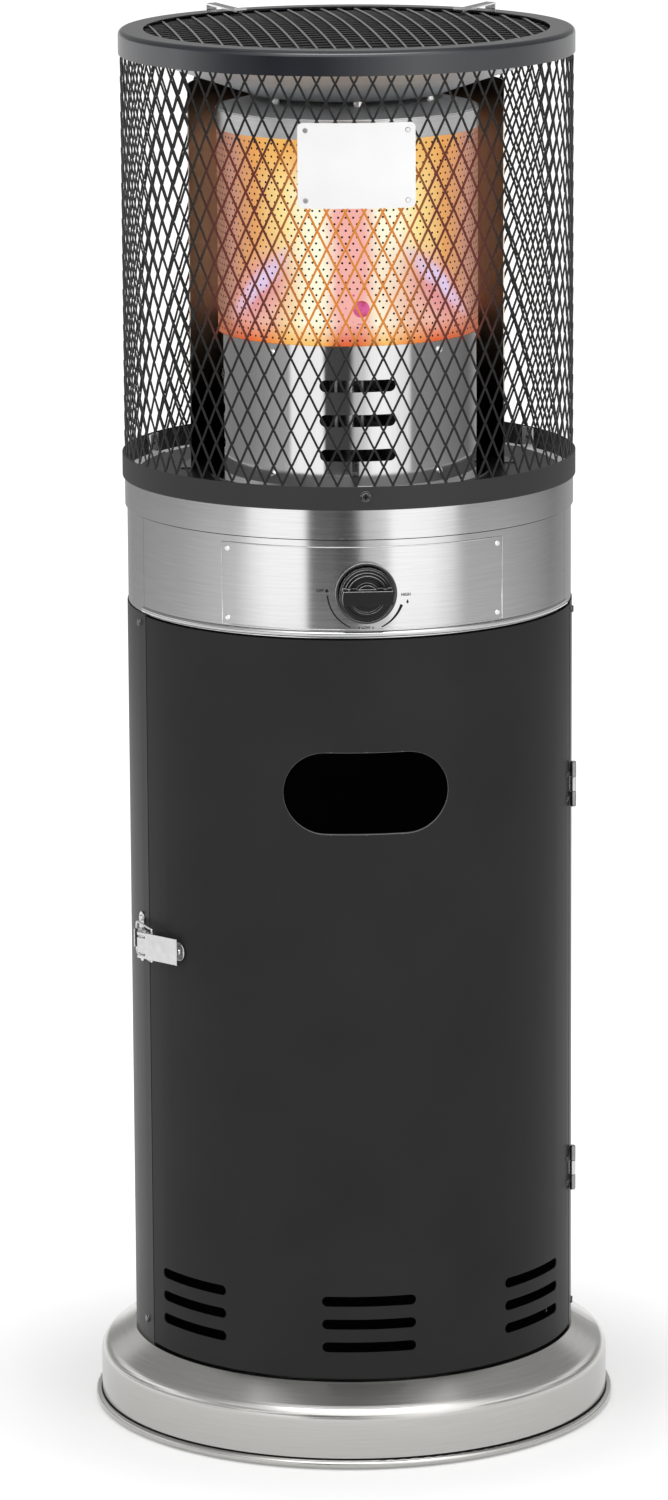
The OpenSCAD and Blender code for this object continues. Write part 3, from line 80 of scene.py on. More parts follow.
class Recipe:
    """A material that is put together node by node."""

    def __init__(self, name):
        self.material = bpy.data.materials.new(name)
        self.material.use_nodes = True
        self.tree = self.material.node_tree
        self.surface = self.tree.nodes["Principled BSDF"]

    def add(self, kind, **settings):
        node = self.tree.nodes.new(kind)
        for key, value in settings.items():
            setattr(node, key, value)
        return node

    def link(self, source, target):
        self.tree.links.new(source, target)

    def give(self, target, value):
        """Links a socket to an input, or sets the input to a plain value."""
        if isinstance(value, bpy.types.NodeSocket):
            self.link(value, target)
        else:
            target.default_value = value

    def set(self, **values):
        """Sets the surface's own inputs to plain values."""
        for name, value in values.items():
            self.surface.inputs[name.replace("_", " ")].default_value = value

    def feed(self, name, source):
        """Links a socket to the surface's own input of that name."""
        self.link(source, self.surface.inputs[name])

    def place(self):
        """Coordinates fixed to the piece, in metres."""
        return self.add("ShaderNodeTexCoord").outputs["Object"]

    def parts(self, vector):
        """A vector's three numbers, by the letters X, Y and Z."""
        parts = self.add("ShaderNodeSeparateXYZ")
        self.link(vector, parts.inputs["Vector"])
        return parts.outputs

    def calculate(self, operation, *terms):
        """A calculation with numbers or sockets, by the name of its operation."""
        node = self.add("ShaderNodeMath", operation=operation)
        for target, term in zip(node.inputs, terms):
            self.give(target, term)
        return node.outputs["Value"]

    def agreement(self, first, second):
        """How far two directions agree: 1 if they are the same, 0 if they are square to each other."""
        node = self.add("ShaderNodeVectorMath", operation="DOT_PRODUCT")
        self.give(node.inputs[0], first)
        self.give(node.inputs[1], second)
        return node.outputs["Value"]

    def length(self, vector):
        node = self.add("ShaderNodeVectorMath", operation="LENGTH")
        self.link(vector, node.inputs["Vector"])
        return node.outputs["Value"]

    def noise(self, scale, stretch=(1, 1, 1), detail=3.0):
        """Noise from 0 to 1, stretched along the axes where stretch is small."""
        mapping = self.add("ShaderNodeMapping")
        mapping.inputs["Scale"].default_value = stretch
        self.link(self.place(), mapping.inputs["Vector"])
        noise = self.add("ShaderNodeTexNoise")
        noise.inputs["Scale"].default_value = scale
        noise.inputs["Detail"].default_value = detail
        self.link(mapping.outputs["Vector"], noise.inputs["Vector"])
        return noise.outputs["Fac"]

    def ramp(self, factor, *stops):
        """Colours at places from 0 to 1 of a factor."""
        ramp = self.add("ShaderNodeValToRGB")
        elements = ramp.color_ramp.elements
        while len(elements) < len(stops):
            elements.new(0.5)
        for element, (place, colour) in zip(elements, stops):
            element.position = place
            element.color = colour
        self.link(factor, ramp.inputs["Fac"])
        return ramp.outputs["Color"]

    def spread(self, factor, low, high):
        """A factor of 0 to 1 stretched to run from low to high."""
        spread = self.add("ShaderNodeMapRange")
        spread.inputs["To Min"].default_value = low
        spread.inputs["To Max"].default_value = high
        self.link(factor, spread.inputs["Value"])
        return spread.outputs["Result"]

    def share(self, value, low, high, clamp=True):
        """Where a value lies between low and high, 0 at low and 1 at high."""
        share = self.add("ShaderNodeMapRange", clamp=clamp)
        share.inputs["From Min"].default_value = low
        share.inputs["From Max"].default_value = high
        self.link(value, share.inputs["Value"])
        return share.outputs["Result"]

    def blend(self, factor, below, above):
        """Lays a colour, or a socket's colours, over a socket's colours by a factor."""
        mix = self.add("ShaderNodeMix", data_type="RGBA")
        self.link(factor, mix.inputs["Factor"])
        self.link(below, mix.inputs["A"])
        self.give(mix.inputs["B"], above)
        return mix.outputs["Result"]

    def overlay(self, factor, colour):
        """Lays a colour over the surface's own by a factor."""
        own = self.surface.inputs["Base Color"].links[0].from_socket
        self.feed("Base Color", self.blend(factor, own, colour))

    def edge_normal(self, radius):
        """Normals as if sharp edges were rounded to a radius."""
        edge = self.add("ShaderNodeBevel", samples=EDGE_SAMPLES)
        edge.inputs["Radius"].default_value = radius
        return edge.outputs["Normal"]

    def bump(self, factor, strength, depth, rounding=0.0):
        """Fine relief by a factor; sharp edges look rounded where a rounding is given."""
        bump = self.add("ShaderNodeBump")
        bump.inputs["Strength"].default_value = strength
        bump.inputs["Distance"].default_value = depth
        self.link(factor, bump.inputs["Height"])
        if rounding:
            self.link(self.edge_normal(rounding), bump.inputs["Normal"])
        self.feed("Normal", bump.outputs["Normal"])


# Paint
CLOUD_SCALE = 9.0
CLOUD_SPAN = (0.3, 0.7)
CLOUD_UNEVENNESS = 0.04
GRAIN_DETAIL = 2.0
GRAIN_DEPTH = 0.2 * MM


def painted(name, dark, light, roughness, specular, grain=900.0, grain_strength=0.06, rounding=0.0):
    """Paint, plastic or rubber with a faint cloudiness and a fine grain."""
    recipe = Recipe(name)
    clouds = recipe.noise(CLOUD_SCALE)
    recipe.feed("Base Color", recipe.ramp(clouds, *zip(CLOUD_SPAN, (dark, light))))
    polish = recipe.spread(clouds, roughness - CLOUD_UNEVENNESS, roughness + CLOUD_UNEVENNESS)
    recipe.feed("Roughness", polish)
    recipe.set(Specular_IOR_Level=specular)
    recipe.bump(recipe.noise(grain, detail=GRAIN_DETAIL), grain_strength, GRAIN_DEPTH, rounding)
    return recipe


powder_black = painted("powder_black", grey(38), grey(42), 0.45, 0.06)
# The hand slot's lip is light grey on the black door, a painted highlight along its edge
lip_highlight_grey = painted("lip_highlight_grey", grey(128), grey(138), 0.4, 0.5)
# The rear housing's black is a touch lighter than the door's, a painted highlight for the light on its edges
rear_black = painted("rear_black", grey(42), grey(48), 0.4, 0.1)
ring_black = painted("ring_black", grey(36), grey(40), 0.5, 0.25)
plastic = painted("black_plastic", grey(13), grey(18), 0.2, 0.5, grain=1400.0, grain_strength=0.01)
rubber = painted("rubber", grey(28), grey(36), 0.8, 0.2, grain=1200.0, grain_strength=0.12)
plate_white = painted("white_plate", grey(226), grey(236), 0.25, 0.4, grain=600.0, grain_strength=0.01)
ceramic = painted("ceramic", linear(226, 220, 208), linear(238, 233, 222), 0.35, 0.5)
deck_black = painted("deck_black", grey(16), grey(22), 0.4, 0.25)
ink = painted("dial_ink", grey(10), grey(15), 0.6, 0.2)
# Flat black for painted shade: the crosses of the screw recesses and the lines under edges
painted_shade_black = painted("painted_shade_black", grey(5), grey(9), 0.7, 0.1)
slate = painted("slate_paint", linear(20, 22, 29), linear(23, 25, 32), 0.15, 0.65)
rim_black = painted("grille_black", grey(52), grey(60), 0.35, 0.4)
long_wire = painted("grille_grey", grey(116), grey(128), 0.35, 0.5)
cross_wire = painted("grille_dark", grey(34), grey(40), 0.4, 0.3)

# Black hardware, with painted highlights on the edges that look up and to the left
HIGHLIGHT_SIDE = (-0.45, -0.2, 0.87)
# Where the shine sets in and is full, by how far the rounded normal agrees with the face's and with that side
HIGHLIGHT_BEND = (0.99, 0.85)
HIGHLIGHT_FACING = (0.15, 0.5)


def painted_edge_highlights(recipe, width, shine):
    """Paints a highlight on the edges, over a width on both sides of each edge."""
    edge = recipe.edge_normal(width)
    face = recipe.add("ShaderNodeNewGeometry").outputs["Normal"]
    bend = recipe.share(recipe.agreement(edge, face), *HIGHLIGHT_BEND)
    facing = recipe.share(recipe.agreement(edge, HIGHLIGHT_SIDE), *HIGHLIGHT_FACING)
    recipe.overlay(recipe.calculate("MULTIPLY", bend, facing), shine)
    return recipe


hardware_paint = painted("black_hardware", grey(10), grey(16), 0.22, 0.8,
                         grain=500.0, grain_strength=0.01, rounding=0.8 * MM)
knob_paint = painted("knob_black", grey(10), grey(14), 0.18, 0.3,
                     grain=1400.0, grain_strength=0.005, rounding=0.9 * MM)
bezel_paint = painted("bezel_black", grey(12), grey(16), 0.12, 1.0,
                      grain=1400.0, grain_strength=0.005, rounding=0.9 * MM)
hardware_black = painted_edge_highlights(hardware_paint, 0.9 * MM, grey(190))
knob_black = painted_edge_highlights(knob_paint, 1.1 * MM, grey(226))
bezel_black = painted_edge_highlights(bezel_paint, 1.1 * MM, grey(226))

# Bare metal
UPRIGHT = (1, 1, 0.015)
ROUND = (0.02, 0.02, 1)
EVEN = (1, 1, 1)
STREAK_SPAN = (0.25, 0.75)
STREAK_DETAIL = 4.0
STREAK_DEPTH = 0.1 * MM
FINE_STREAKS = 1100.0
PLATED_GRAIN = 120.0


def brushed(name, dark, light, roughness, stretch, streak_strength=0.02, scale=400.0, rounding=0.0,
            unevenness=0.03):
    """Bare metal with brush marks along the axis where stretch is small."""
    recipe = Recipe(name)
    streaks = recipe.noise(scale, stretch, STREAK_DETAIL)
    recipe.feed("Base Color", recipe.ramp(streaks, *zip(STREAK_SPAN, (dark, light))))
    recipe.feed("Roughness", recipe.spread(streaks, roughness - unevenness, roughness + unevenness))
    recipe.set(Metallic=1.0)
    recipe.bump(streaks, streak_strength, STREAK_DEPTH, rounding)
    return recipe


def plated(name, dark, light, roughness, streak_strength=0.01, rounding=0.0):
    """Plated or cast metal, which has a grain without direction."""
    return brushed(name, dark, light, roughness, EVEN, streak_strength, PLATED_GRAIN, rounding)


band_steel = brushed("band_steel", grey(174), grey(184), 0.13, ROUND, 0.006, FINE_STREAKS)
spun_steel = brushed("spun_steel", linear(180, 179, 176), linear(189, 188, 185), 0.2, ROUND, 0.004,
                     FINE_STREAKS)
trim_steel = brushed("trim_steel", grey(176), grey(188), 0.2, ROUND, 0.006, FINE_STREAKS)
satin_steel = brushed("satin_steel", grey(166), grey(178), 0.34, ROUND, 0.01)
lid_steel = brushed("lid_steel", grey(206), grey(216), 0.5, ROUND, 0.01)
clip_steel = plated("clip_steel", grey(206), grey(222), 0.24)
zinc = plated("zinc", grey(180), grey(198), 0.22)
latch_zinc = plated("latch_zinc", grey(188), grey(206), 0.25, rounding=0.8 * MM)
rivet_zinc = plated("rivet_zinc", grey(226), grey(238), 0.4)
dark_zinc = plated("dark_zinc", grey(124), grey(150), 0.26)
brass = plated("brass", linear(178, 140, 72), linear(206, 168, 92), 0.3, streak_strength=0.02)


def painted_shade_above(recipe, start, end, colour):
    """Paints shade on the faces that look up: the painted shade sets in from start to end of the normal's
    upward part.
    """
    normal = recipe.add("ShaderNodeNewGeometry").outputs["Normal"]
    above = recipe.ramp(recipe.parts(normal)["Z"], (start, NO), (end, YES))
    recipe.overlay(above, colour)
    recipe.feed("Metallic", recipe.spread(above, 1.0, 0.0))
    return recipe


pan_metal = brushed("pan_steel", linear(166, 169, 172), linear(176, 179, 182), 0.5, ROUND, 0.01)
housing_metal = brushed("bright_steel", grey(173), grey(179), 0.08, UPRIGHT, 0.002,
                        scale=900.0, unevenness=0.01)
# The steel of the pan and the burner housing gets painted shade on its faces that look up
pan_steel = painted_shade_above(pan_metal, start=0.0, end=0.05, colour=grey(9))
bright_steel = painted_shade_above(housing_metal, start=0.2, end=0.35, colour=grey(16))

# Rivets of the door, zinc on the latch side and black on the hinge side, by shares of the node's own width
RIVET_STOPS = [(0.49, NO), (0.51, YES)]


def rivet_finish():
    recipe = plated("door_rivet", grey(180), grey(198), 0.24)
    across = recipe.parts(recipe.add("ShaderNodeTexCoord").outputs["Generated"])["X"]
    hinge_side = recipe.ramp(across, *RIVET_STOPS)
    recipe.overlay(hinge_side, grey(14))
    recipe.feed("Metallic", recipe.spread(hinge_side, 1.0, 0.0))
    return recipe


rivet = rivet_finish()

# The reflector behind the emitter: its warm brown is a painted reflection of the glow, and it is darker at
# its foot and under the pan, a painted shade by shares of its height
REFLECTOR_SHADE = linear(44, 40, 38)
REFLECTOR_SHADE_STOPS = [(0.13, YES), (0.42, NO), (0.84, NO), (0.96, YES)]


def reflector_finish():
    recipe = brushed("mirror_steel", linear(196, 184, 170), linear(212, 200, 186), 0.3, UPRIGHT, 0.004)
    lowest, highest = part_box("rear_reflector")
    height = recipe.share(recipe.parts(recipe.place())["Z"], lowest.z, highest.z)
    recipe.overlay(recipe.ramp(height, *REFLECTOR_SHADE_STOPS), REFLECTOR_SHADE)
    return recipe


mirror_steel = reflector_finish()


# Finishes by the angle from the front, on pieces that stand round the axis

def round_place(recipe):
    """The angle from the front in degrees and the height."""
    place = recipe.parts(recipe.place())
    front = recipe.calculate("MULTIPLY", place["Y"], -1.0)
    turn = recipe.calculate("ARCTAN2", place["X"], front)
    return recipe.calculate("DEGREES", turn), place["Z"]


def by_angle(recipe, angle, stops):
    """Colours at angles in degrees from the front."""
    low, high = stops[0][0], stops[-1][0]
    shares = [((place - low) / (high - low), colour) for place, colour in stops]
    return recipe.ramp(recipe.share(angle, low, high), *shares)


# The guard's strands: black, with a painted glow of orange light where they stand before the emitter
EMITTER_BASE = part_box("burner_housing")[1].z
EMITTER_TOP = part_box("emitter_collar")[0].z
EMITTER_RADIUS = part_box("emitter_screen")[1].x
STRAND_RISE = 12 * MM
STRAND_BLACK = grey(6)
STRAND_RED = linear(104, 32, 12)
STRAND_GOLD = linear(232, 140, 42)
STRAND_GLOW = 0.85
STRAND_STOPS = [
    (-44, STRAND_BLACK), (-35, STRAND_RED), (-24, STRAND_RED), (-14, STRAND_GOLD),
    (7, STRAND_GOLD), (17, STRAND_RED), (28, STRAND_RED), (37, STRAND_BLACK),
]
STRAND_HEIGHTS = [(0.0, NO), (0.05, YES), (0.93, YES), (1.0, NO)]


def guard_finish():
    recipe = painted("mesh_black", grey(11), grey(15), 0.45, 0.25)
    angle, z = round_place(recipe)
    height = recipe.share(z, EMITTER_BASE + STRAND_RISE, EMITTER_TOP + STRAND_RISE)
    recipe.feed("Emission Color", by_angle(recipe, angle, STRAND_STOPS))
    lit = recipe.ramp(height, *STRAND_HEIGHTS)
    recipe.feed("Emission Strength", recipe.spread(lit, 0.0, STRAND_GLOW))
    return recipe


guard_black = guard_finish()

# The emitter's glow, painted on the screen by angle from the front and by shares of its height
GLOW_EDGE = linear(150, 104, 84)
GLOW_MAUVE = linear(190, 136, 116)
GLOW_ORANGE = linear(232, 164, 94)
GLOW_YELLOW = linear(255, 228, 150)
GLOW_WHITE = linear(255, 253, 224)
GLOW_PINK = linear(246, 178, 170)
GLOW_GOLD = linear(240, 166, 66)
GLOW_ROSE = linear(228, 150, 150)
GLOW_LILAC = linear(226, 204, 236)
GLOW_BLUSH = linear(241, 186, 166)
FOOT_BROWN = linear(184, 100, 66)
FOOT_RED = linear(226, 98, 42)
FOOT_ORANGE = linear(240, 142, 60)
FOOT_GOLD = linear(252, 196, 100)
GLOW_STOPS = [
    (-100, GLOW_EDGE), (-76, GLOW_EDGE), (-64, GLOW_MAUVE), (-48, GLOW_ORANGE), (-33, GLOW_YELLOW),
    (-22, GLOW_WHITE), (-15, GLOW_WHITE), (-9, GLOW_PINK), (3, GLOW_PINK), (10, GLOW_WHITE), (18, GLOW_WHITE),
    (28, GLOW_YELLOW), (42, GLOW_ORANGE), (60, GLOW_MAUVE), (74, GLOW_EDGE), (100, GLOW_EDGE),
]
FOOT_STOPS = [
    (-100, FOOT_BROWN), (-70, FOOT_BROWN), (-52, FOOT_RED), (-39, FOOT_ORANGE), (-26, FOOT_GOLD),
    (-17, FOOT_GOLD), (-9, FOOT_RED), (0, FOOT_RED), (12, FOOT_GOLD), (24, FOOT_ORANGE), (36, FOOT_RED),
    (66, FOOT_BROWN), (100, FOOT_BROWN),
]
FOOT_HEIGHTS = [(0.01, YES), (0.11, NO)]
# Angle, height share, half angle, half height share, lean in degrees for the whole height, colour
GLOW_PATCHES = [
    (-5, 0.97, 62, 0.22, 0, GLOW_GOLD),
    (-45, 0.16, 20, 0.4, 30, GLOW_BLUSH),
    (32, 0.16, 24, 0.4, -30, GLOW_BLUSH),
    (-48, 0.24, 17, 0.24, 60, GLOW_ROSE),
    (40, 0.24, 17, 0.24, -60, GLOW_ROSE),
    (-46, 0.29, 8, 0.21, 86, GLOW_LILAC),
    (40, 0.29, 8, 0.21, -95, GLOW_LILAC),
]
# From the middle of a patch to its edge
PATCH_STOPS = [(0.3, YES), (1.0, NO)]
# Degrees by which the colours waver
WAVER = 4.0
WAVER_SCALE = 34.0
WAVER_DETAIL = 4.0
GLOW_OUTSIDE = 0.97
GLOW_INSIDE = 0.02


def glow_patch(recipe, below, angle, height, patch):
    """A soft oval of colour round a place on the screen, which may lean to one side."""
    patch_angle, patch_height, half_angle, half_height, lean, colour = patch
    leaning = recipe.calculate("MULTIPLY_ADD", height, -lean, angle)
    middle = patch_angle - lean * patch_height
    across = recipe.share(leaning, middle, middle + half_angle, clamp=False)
    upward = recipe.share(height, patch_height, patch_height + half_height, clamp=False)
    both = recipe.add("ShaderNodeCombineXYZ")
    recipe.link(across, both.inputs["X"])
    recipe.link(upward, both.inputs["Y"])
    soft = recipe.ramp(recipe.length(both.outputs["Vector"]), *PATCH_STOPS)
    return recipe.blend(soft, below, colour)


def emitter_glow():
    recipe = Recipe("hot_emitter")
    degrees, z = round_place(recipe)
    waver = recipe.spread(recipe.noise(WAVER_SCALE, detail=WAVER_DETAIL), -WAVER, WAVER)
    angle = recipe.calculate("ADD", degrees, waver)
    height = recipe.share(z, EMITTER_BASE, EMITTER_TOP)
    colour = by_angle(recipe, angle, GLOW_STOPS)
    for patch in GLOW_PATCHES:
        colour = glow_patch(recipe, colour, angle, height, patch)
    foot = recipe.ramp(height, *FOOT_HEIGHTS)
    recipe.feed("Emission Color", recipe.blend(foot, colour, by_angle(recipe, angle, FOOT_STOPS)))

    # Only the outside glows; the inside is seen dark through the holes
    inside = recipe.add("ShaderNodeNewGeometry").outputs["Backfacing"]
    recipe.feed("Emission Strength", recipe.spread(inside, GLOW_OUTSIDE, GLOW_INSIDE))
    recipe.set(Base_Color=grey(40), Roughness=0.7, Specular_IOR_Level=0.1)
    return recipe


# The burner's glow, seen through the viewing hole
INNER_STOPS = [(0.35, linear(196, 70, 96)), (0.65, linear(232, 104, 172))]
INNER_SCALE = 120.0


def inner_glow_finish():
    recipe = Recipe("inner_glow")
    recipe.feed("Emission Color", recipe.ramp(recipe.noise(INNER_SCALE), *INNER_STOPS))
    recipe.set(Base_Color=grey(30), Roughness=0.7, Emission_Strength=0.9)
    return recipe


hot_emitter = emitter_glow()
inner_glow = inner_glow_finish()

# Which node has which finish; all others are zinc
FINISHES = {
    powder_black: ["door_panel"],
    rear_black: ["rear_housing"],
    ring_black: ["guard_bottom_ring"],
    slate: ["cap_ring"],
    hardware_black: ["housing_screws", "guard_screws"],
    plastic: ["tilt_switch"],
    knob_black: ["knob"],
    bezel_black: ["knob_bezel"],
    rubber: ["base_feet"],
    plate_white: ["guard_plate"],
    ceramic: ["igniter_electrode"],
    deck_black: ["head_floor"],
    guard_black: ["guard_mesh"],
    rim_black: ["grille_rim"],
    long_wire: ["grille_long_wires"],
    cross_wire: ["grille_cross_wires"],
    hot_emitter: ["emitter_screen"],
    spun_steel: ["base_cover"],
    band_steel: ["control_panel_front", "control_panel_rear", "collar_ring", "label_plate"],
    bright_steel: ["burner_housing"],
    satin_steel: ["emitter_collar"],
    lid_steel: ["emitter_lid"],
    latch_zinc: ["latch_base", "latch_lever", "latch_bail", "latch_pin", "latch_strike"],
    rivet_zinc: ["label_rivets", "burner_screws"],
    mirror_steel: ["rear_reflector"],
    dark_zinc: ["hinge_leaves_housing", "hinge_pins"],
    clip_steel: ["grille_clips"],
    rivet: ["door_rivets"],
    pan_steel: ["deflector_pan"],
    brass: ["gas_inlet", "gas_pipe", "gas_injector", "valve_plunger"],
}
named = {name for names in FINISHES.values() for name in names}
FINISHES[zinc] = [name for name in nodes if name not in named]

for recipe, names in FINISHES.items():
    for name in names:
        mesh = nodes[name].data
        mesh.materials.clear()
        mesh.materials.append(recipe.material)

# The steel above the ring shows the room and not the ring's black inside
nodes["guard_bottom_ring"].visible_glossy = False


# Pieces made here

def piece(name, points, faces, recipe, body, smooth=False):
    """A mesh in the row frame that rides on a CAD body."""
    mesh = bpy.data.meshes.new(name)
    mesh.from_pydata(points, [], faces)
    mesh.update()
    mesh.materials.append(recipe.material)
    if smooth:
        mesh.shade_smooth()
    obj = bpy.data.objects.new(name, mesh)
    bpy.context.scene.collection.objects.link(obj)
    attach(obj, body)
    return obj


def on_drum(radius, angle, height):
    """A point on an upright cylinder, by the angle from the front."""
    return radius * math.sin(angle), -radius * math.cos(angle), height


def full_turn(steps):
    """Evenly spaced angles once round."""
    return [FULL_TURN * i / steps for i in range(steps)]


def one_face(points):
    """A single face through all points."""
    return [list(range(len(points)))]


def ring_faces(first, second, sides):
    """Faces between two rings of points, by the number of each ring's first point."""
    faces = []
    for side in range(sides):
        following = (side + 1) % sides
        faces.append([first + side, first + following, second + following, second + side])
    return faces


def tube_faces(rings, sides):
    """Faces of a closed tube, whose points come ring by ring."""
    faces = []
    for ring in range(rings):
        faces += ring_faces(ring * sides, (ring + 1) % rings * sides, sides)
    return faces


def round_wall(steps):
    """Faces of a round wall whose points come in pairs, low and high."""
    count = 2 * steps
    return [[2 * i, (2 * i + 2) % count, (2 * i + 3) % count, 2 * i + 1] for i in range(steps)]


# Guard: expanded metal, with strands that widen where they meet
MESH_COUNT = 78
MESH_PITCH = 34 * MM
STRAND_WIDTH = 2.2 * MM
STRAND_DEPTH = 1.0 * MM
BOND_HEIGHT = 5.0 * MM
BOND_WIDTH = 2.9 * MM
STRAND_TILT = 0.6 * MM
STRAND_INSET = BOND_HEIGHT / 8
BLOCK_SIDES = ((0, 1, 2, 3), (7, 6, 5, 4), (0, 4, 5, 1), (1, 5, 6, 2), (2, 6, 7, 3), (3, 7, 4, 0))


def guard_mesh():
    lowest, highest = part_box("guard_mesh")
    radius = highest.x
    step = FULL_TURN / MESH_COUNT
    rows = int((highest.z - lowest.z) / (MESH_PITCH / 2))
    points = []
    faces = []

    def block(corners):
        """A six-sided block from its inner four and outer four corners."""
        first = len(points)
        points.extend(corners)
        for side in BLOCK_SIDES:
            faces.append([first + i for i in side])

    half_bond = BOND_WIDTH / 2 / radius
    half_strand = STRAND_WIDTH / 2 / radius
    inner = radius - STRAND_DEPTH
    for row in range(rows + 1):
        height = lowest.z + row * MESH_PITCH / 2
        for column in range(MESH_COUNT):
            angle = (column + row % 2 / 2) * step
            bond_low = max(height - BOND_HEIGHT / 2, lowest.z)
            bond_high = min(height + BOND_HEIGHT / 2, highest.z)
            block([on_drum(r, angle + side, z) for r in (inner, radius)
                   for side, z in ((0, bond_low), (half_bond, height), (0, bond_high), (-half_bond, height))])
            if row == rows:
                continue
            for way in (-1, 1):
                low_angle = angle + way * half_strand / 2
                high_angle = angle + way * (step / 2 - half_strand / 2)
                low_z = height + STRAND_INSET
                high_z = height + MESH_PITCH / 2 - STRAND_INSET
                block([on_drum(r - lean, a + side, z) for r in (inner, radius)
                       for a, side, z, lean in ((low_angle, -half_strand, low_z, STRAND_TILT),
                                                (low_angle, half_strand, low_z, STRAND_TILT),
                                                (high_angle, half_strand, high_z, 0),
                                                (high_angle, -half_strand, high_z, 0))])
    obj = piece("expanded_guard", points, faces, guard_black, "root")
    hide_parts("guard_mesh")

    # The steel behind the guard shows the room and not the strands
    obj.visible_glossy = False


guard_mesh()


# Emitter screen with its pinholes and its viewing hole
HOLE_PITCH = 7.0 * MM
HOLE_ROW = 6.1 * MM
HOLE_RADIUS = 1.15 * MM
CELL_OUTLINE = [(1, 0), (1, 1), (0, 1), (-1, 1), (-1, 0), (-1, -1), (0, -1), (1, -1)]
VIEW_ANGLE = math.radians(1.7)
VIEW_HEIGHT = EMITTER_BASE + 35 * MM
VIEW_RADIUS = 8 * MM
VIEW_RIM = 6 * MM
VIEW_LIFT = 0.2 * MM
VIEW_SIDES = 40
INNER_DEPTH = 14 * MM
INNER_RADIUS = 16 * MM


def around_view(radius, distance):
    """Points in a circle round the viewing hole."""
    return [on_drum(radius, VIEW_ANGLE + distance * math.cos(turn) / radius,
                    VIEW_HEIGHT + distance * math.sin(turn)) for turn in full_turn(VIEW_SIDES)]


def emitter_screen():
    lowest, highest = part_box("emitter_screen")
    columns = int(FULL_TURN * EMITTER_RADIUS / HOLE_PITCH)
    cell = FULL_TURN / columns
    rows = int((highest.z - lowest.z) / HOLE_ROW)
    rise = (highest.z - lowest.z) / rows
    sides = len(CELL_OUTLINE)
    points = []
    faces = []
    for row in range(rows):
        middle_z = lowest.z + (row + 0.5) * rise
        for column in range(columns):
            middle = (column + row % 2 / 2) * cell
            across = ((middle - VIEW_ANGLE + math.pi) % FULL_TURN - math.pi) * EMITTER_RADIUS
            if math.hypot(across, middle_z - VIEW_HEIGHT) < VIEW_RADIUS + HOLE_PITCH / 2:
                continue
            first = len(points)
            for x, z in CELL_OUTLINE:
                points.append(on_drum(EMITTER_RADIUS, middle + x * cell / 2, middle_z + z * rise / 2))
            for turn in full_turn(sides):
                hole_angle = middle + HOLE_RADIUS * math.cos(turn) / EMITTER_RADIUS
                points.append(on_drum(EMITTER_RADIUS, hole_angle, middle_z + HOLE_RADIUS * math.sin(turn)))
            faces += ring_faces(first, first + sides, sides)

    # The plain rim of the viewing hole
    first = len(points)
    second = first + VIEW_SIDES
    for distance in (VIEW_RADIUS, VIEW_RADIUS + VIEW_RIM):
        points.extend(around_view(EMITTER_RADIUS + VIEW_LIFT, distance))
    for side in range(VIEW_SIDES):
        following = (side + 1) % VIEW_SIDES
        faces.append([first + side, second + side, second + following, first + following])
    obj = piece("pierced_emitter", points, faces, hot_emitter, "root")
    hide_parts("emitter_screen")


def burner_glow():
    """A glowing disc behind the viewing hole."""
    points = around_view(EMITTER_RADIUS - INNER_DEPTH, INNER_RADIUS)
    piece("burner_glow", points, one_face(points), inner_glow, "root")


emitter_screen()
burner_glow()


# Dial marks round the knob, with places to the right and up from the knob's axis
PRINT_LIFT = 0.06 * MM
PLATE_RADIUS = -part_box("label_plate")[0].y + PRINT_LIFT
KNOB_LOW, KNOB_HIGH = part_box("knob")
KNOB_HEIGHT = (KNOB_LOW.z + KNOB_HIGH.z) / 2
DIAL_RADIUS = 36 * MM
WORD_WEIGHT = 0.12 * MM
ARC_STEPS = 40
DOT_SIDES = 24
# The right side of a flame, from its tip to its foot
FLAME_SIDE = [(0.0, 1.0), (0.45, 0.1), (0.55, -0.4), (0.3, -0.9), (0.0, -1.0)]
# Place and letter height
DIAL_WORDS = {
    "OFF": (-43 * MM, 1.8 * MM, 3.8 * MM),
    "LOW": (0, -33.2 * MM, 3.4 * MM),
    "HIGH": (38 * MM, -3 * MM, 3.8 * MM),
}
# Place and radius
OFF_DOT = (-DIAL_RADIUS - 0.5 * MM, 1.8 * MM, 1.6 * MM)
# Place and height
DIAL_FLAMES = {
    "dial_flame_high": (39.5 * MM, -9.5 * MM, 4.0 * MM),
    "dial_flame_low_left": (-6.5 * MM, -33.2 * MM, 2.4 * MM),
    "dial_flame_low_right": (6.5 * MM, -33.2 * MM, 2.4 * MM),
}
# First and last angle from 3 o'clock, first and last width
DIAL_ARCS = {
    "dial_arc_low": (184, 246, 1.5 * MM, 1.1 * MM),
    "dial_arc_high": (294, 340, 1.1 * MM, 2.8 * MM),
}


def on_plate(x, z):
    return on_drum(PLATE_RADIUS, x / PLATE_RADIUS, KNOB_HEIGHT + z)


def printed(name, points, faces):
    piece(name, points, faces, ink, "root")


def dial_word(word, x, z, size):
    curve = bpy.data.curves.new("dial_" + word, "FONT")
    curve.body = word
    curve.size = size
    curve.offset = WORD_WEIGHT
    curve.align_x = "CENTER"
    curve.align_y = "CENTER"
    flat = bpy.data.objects.new("flat_" + word, curve)
    bpy.context.scene.collection.objects.link(flat)
    bpy.context.view_layer.update()
    mesh = bpy.data.meshes.new_from_object(flat.evaluated_get(bpy.context.evaluated_depsgraph_get()))
    points = [on_plate(x + v.co.x, z + v.co.y) for v in mesh.vertices]
    faces = [list(face.vertices) for face in mesh.polygons]
    bpy.data.objects.remove(flat)
    printed("dial_" + word, points, faces)


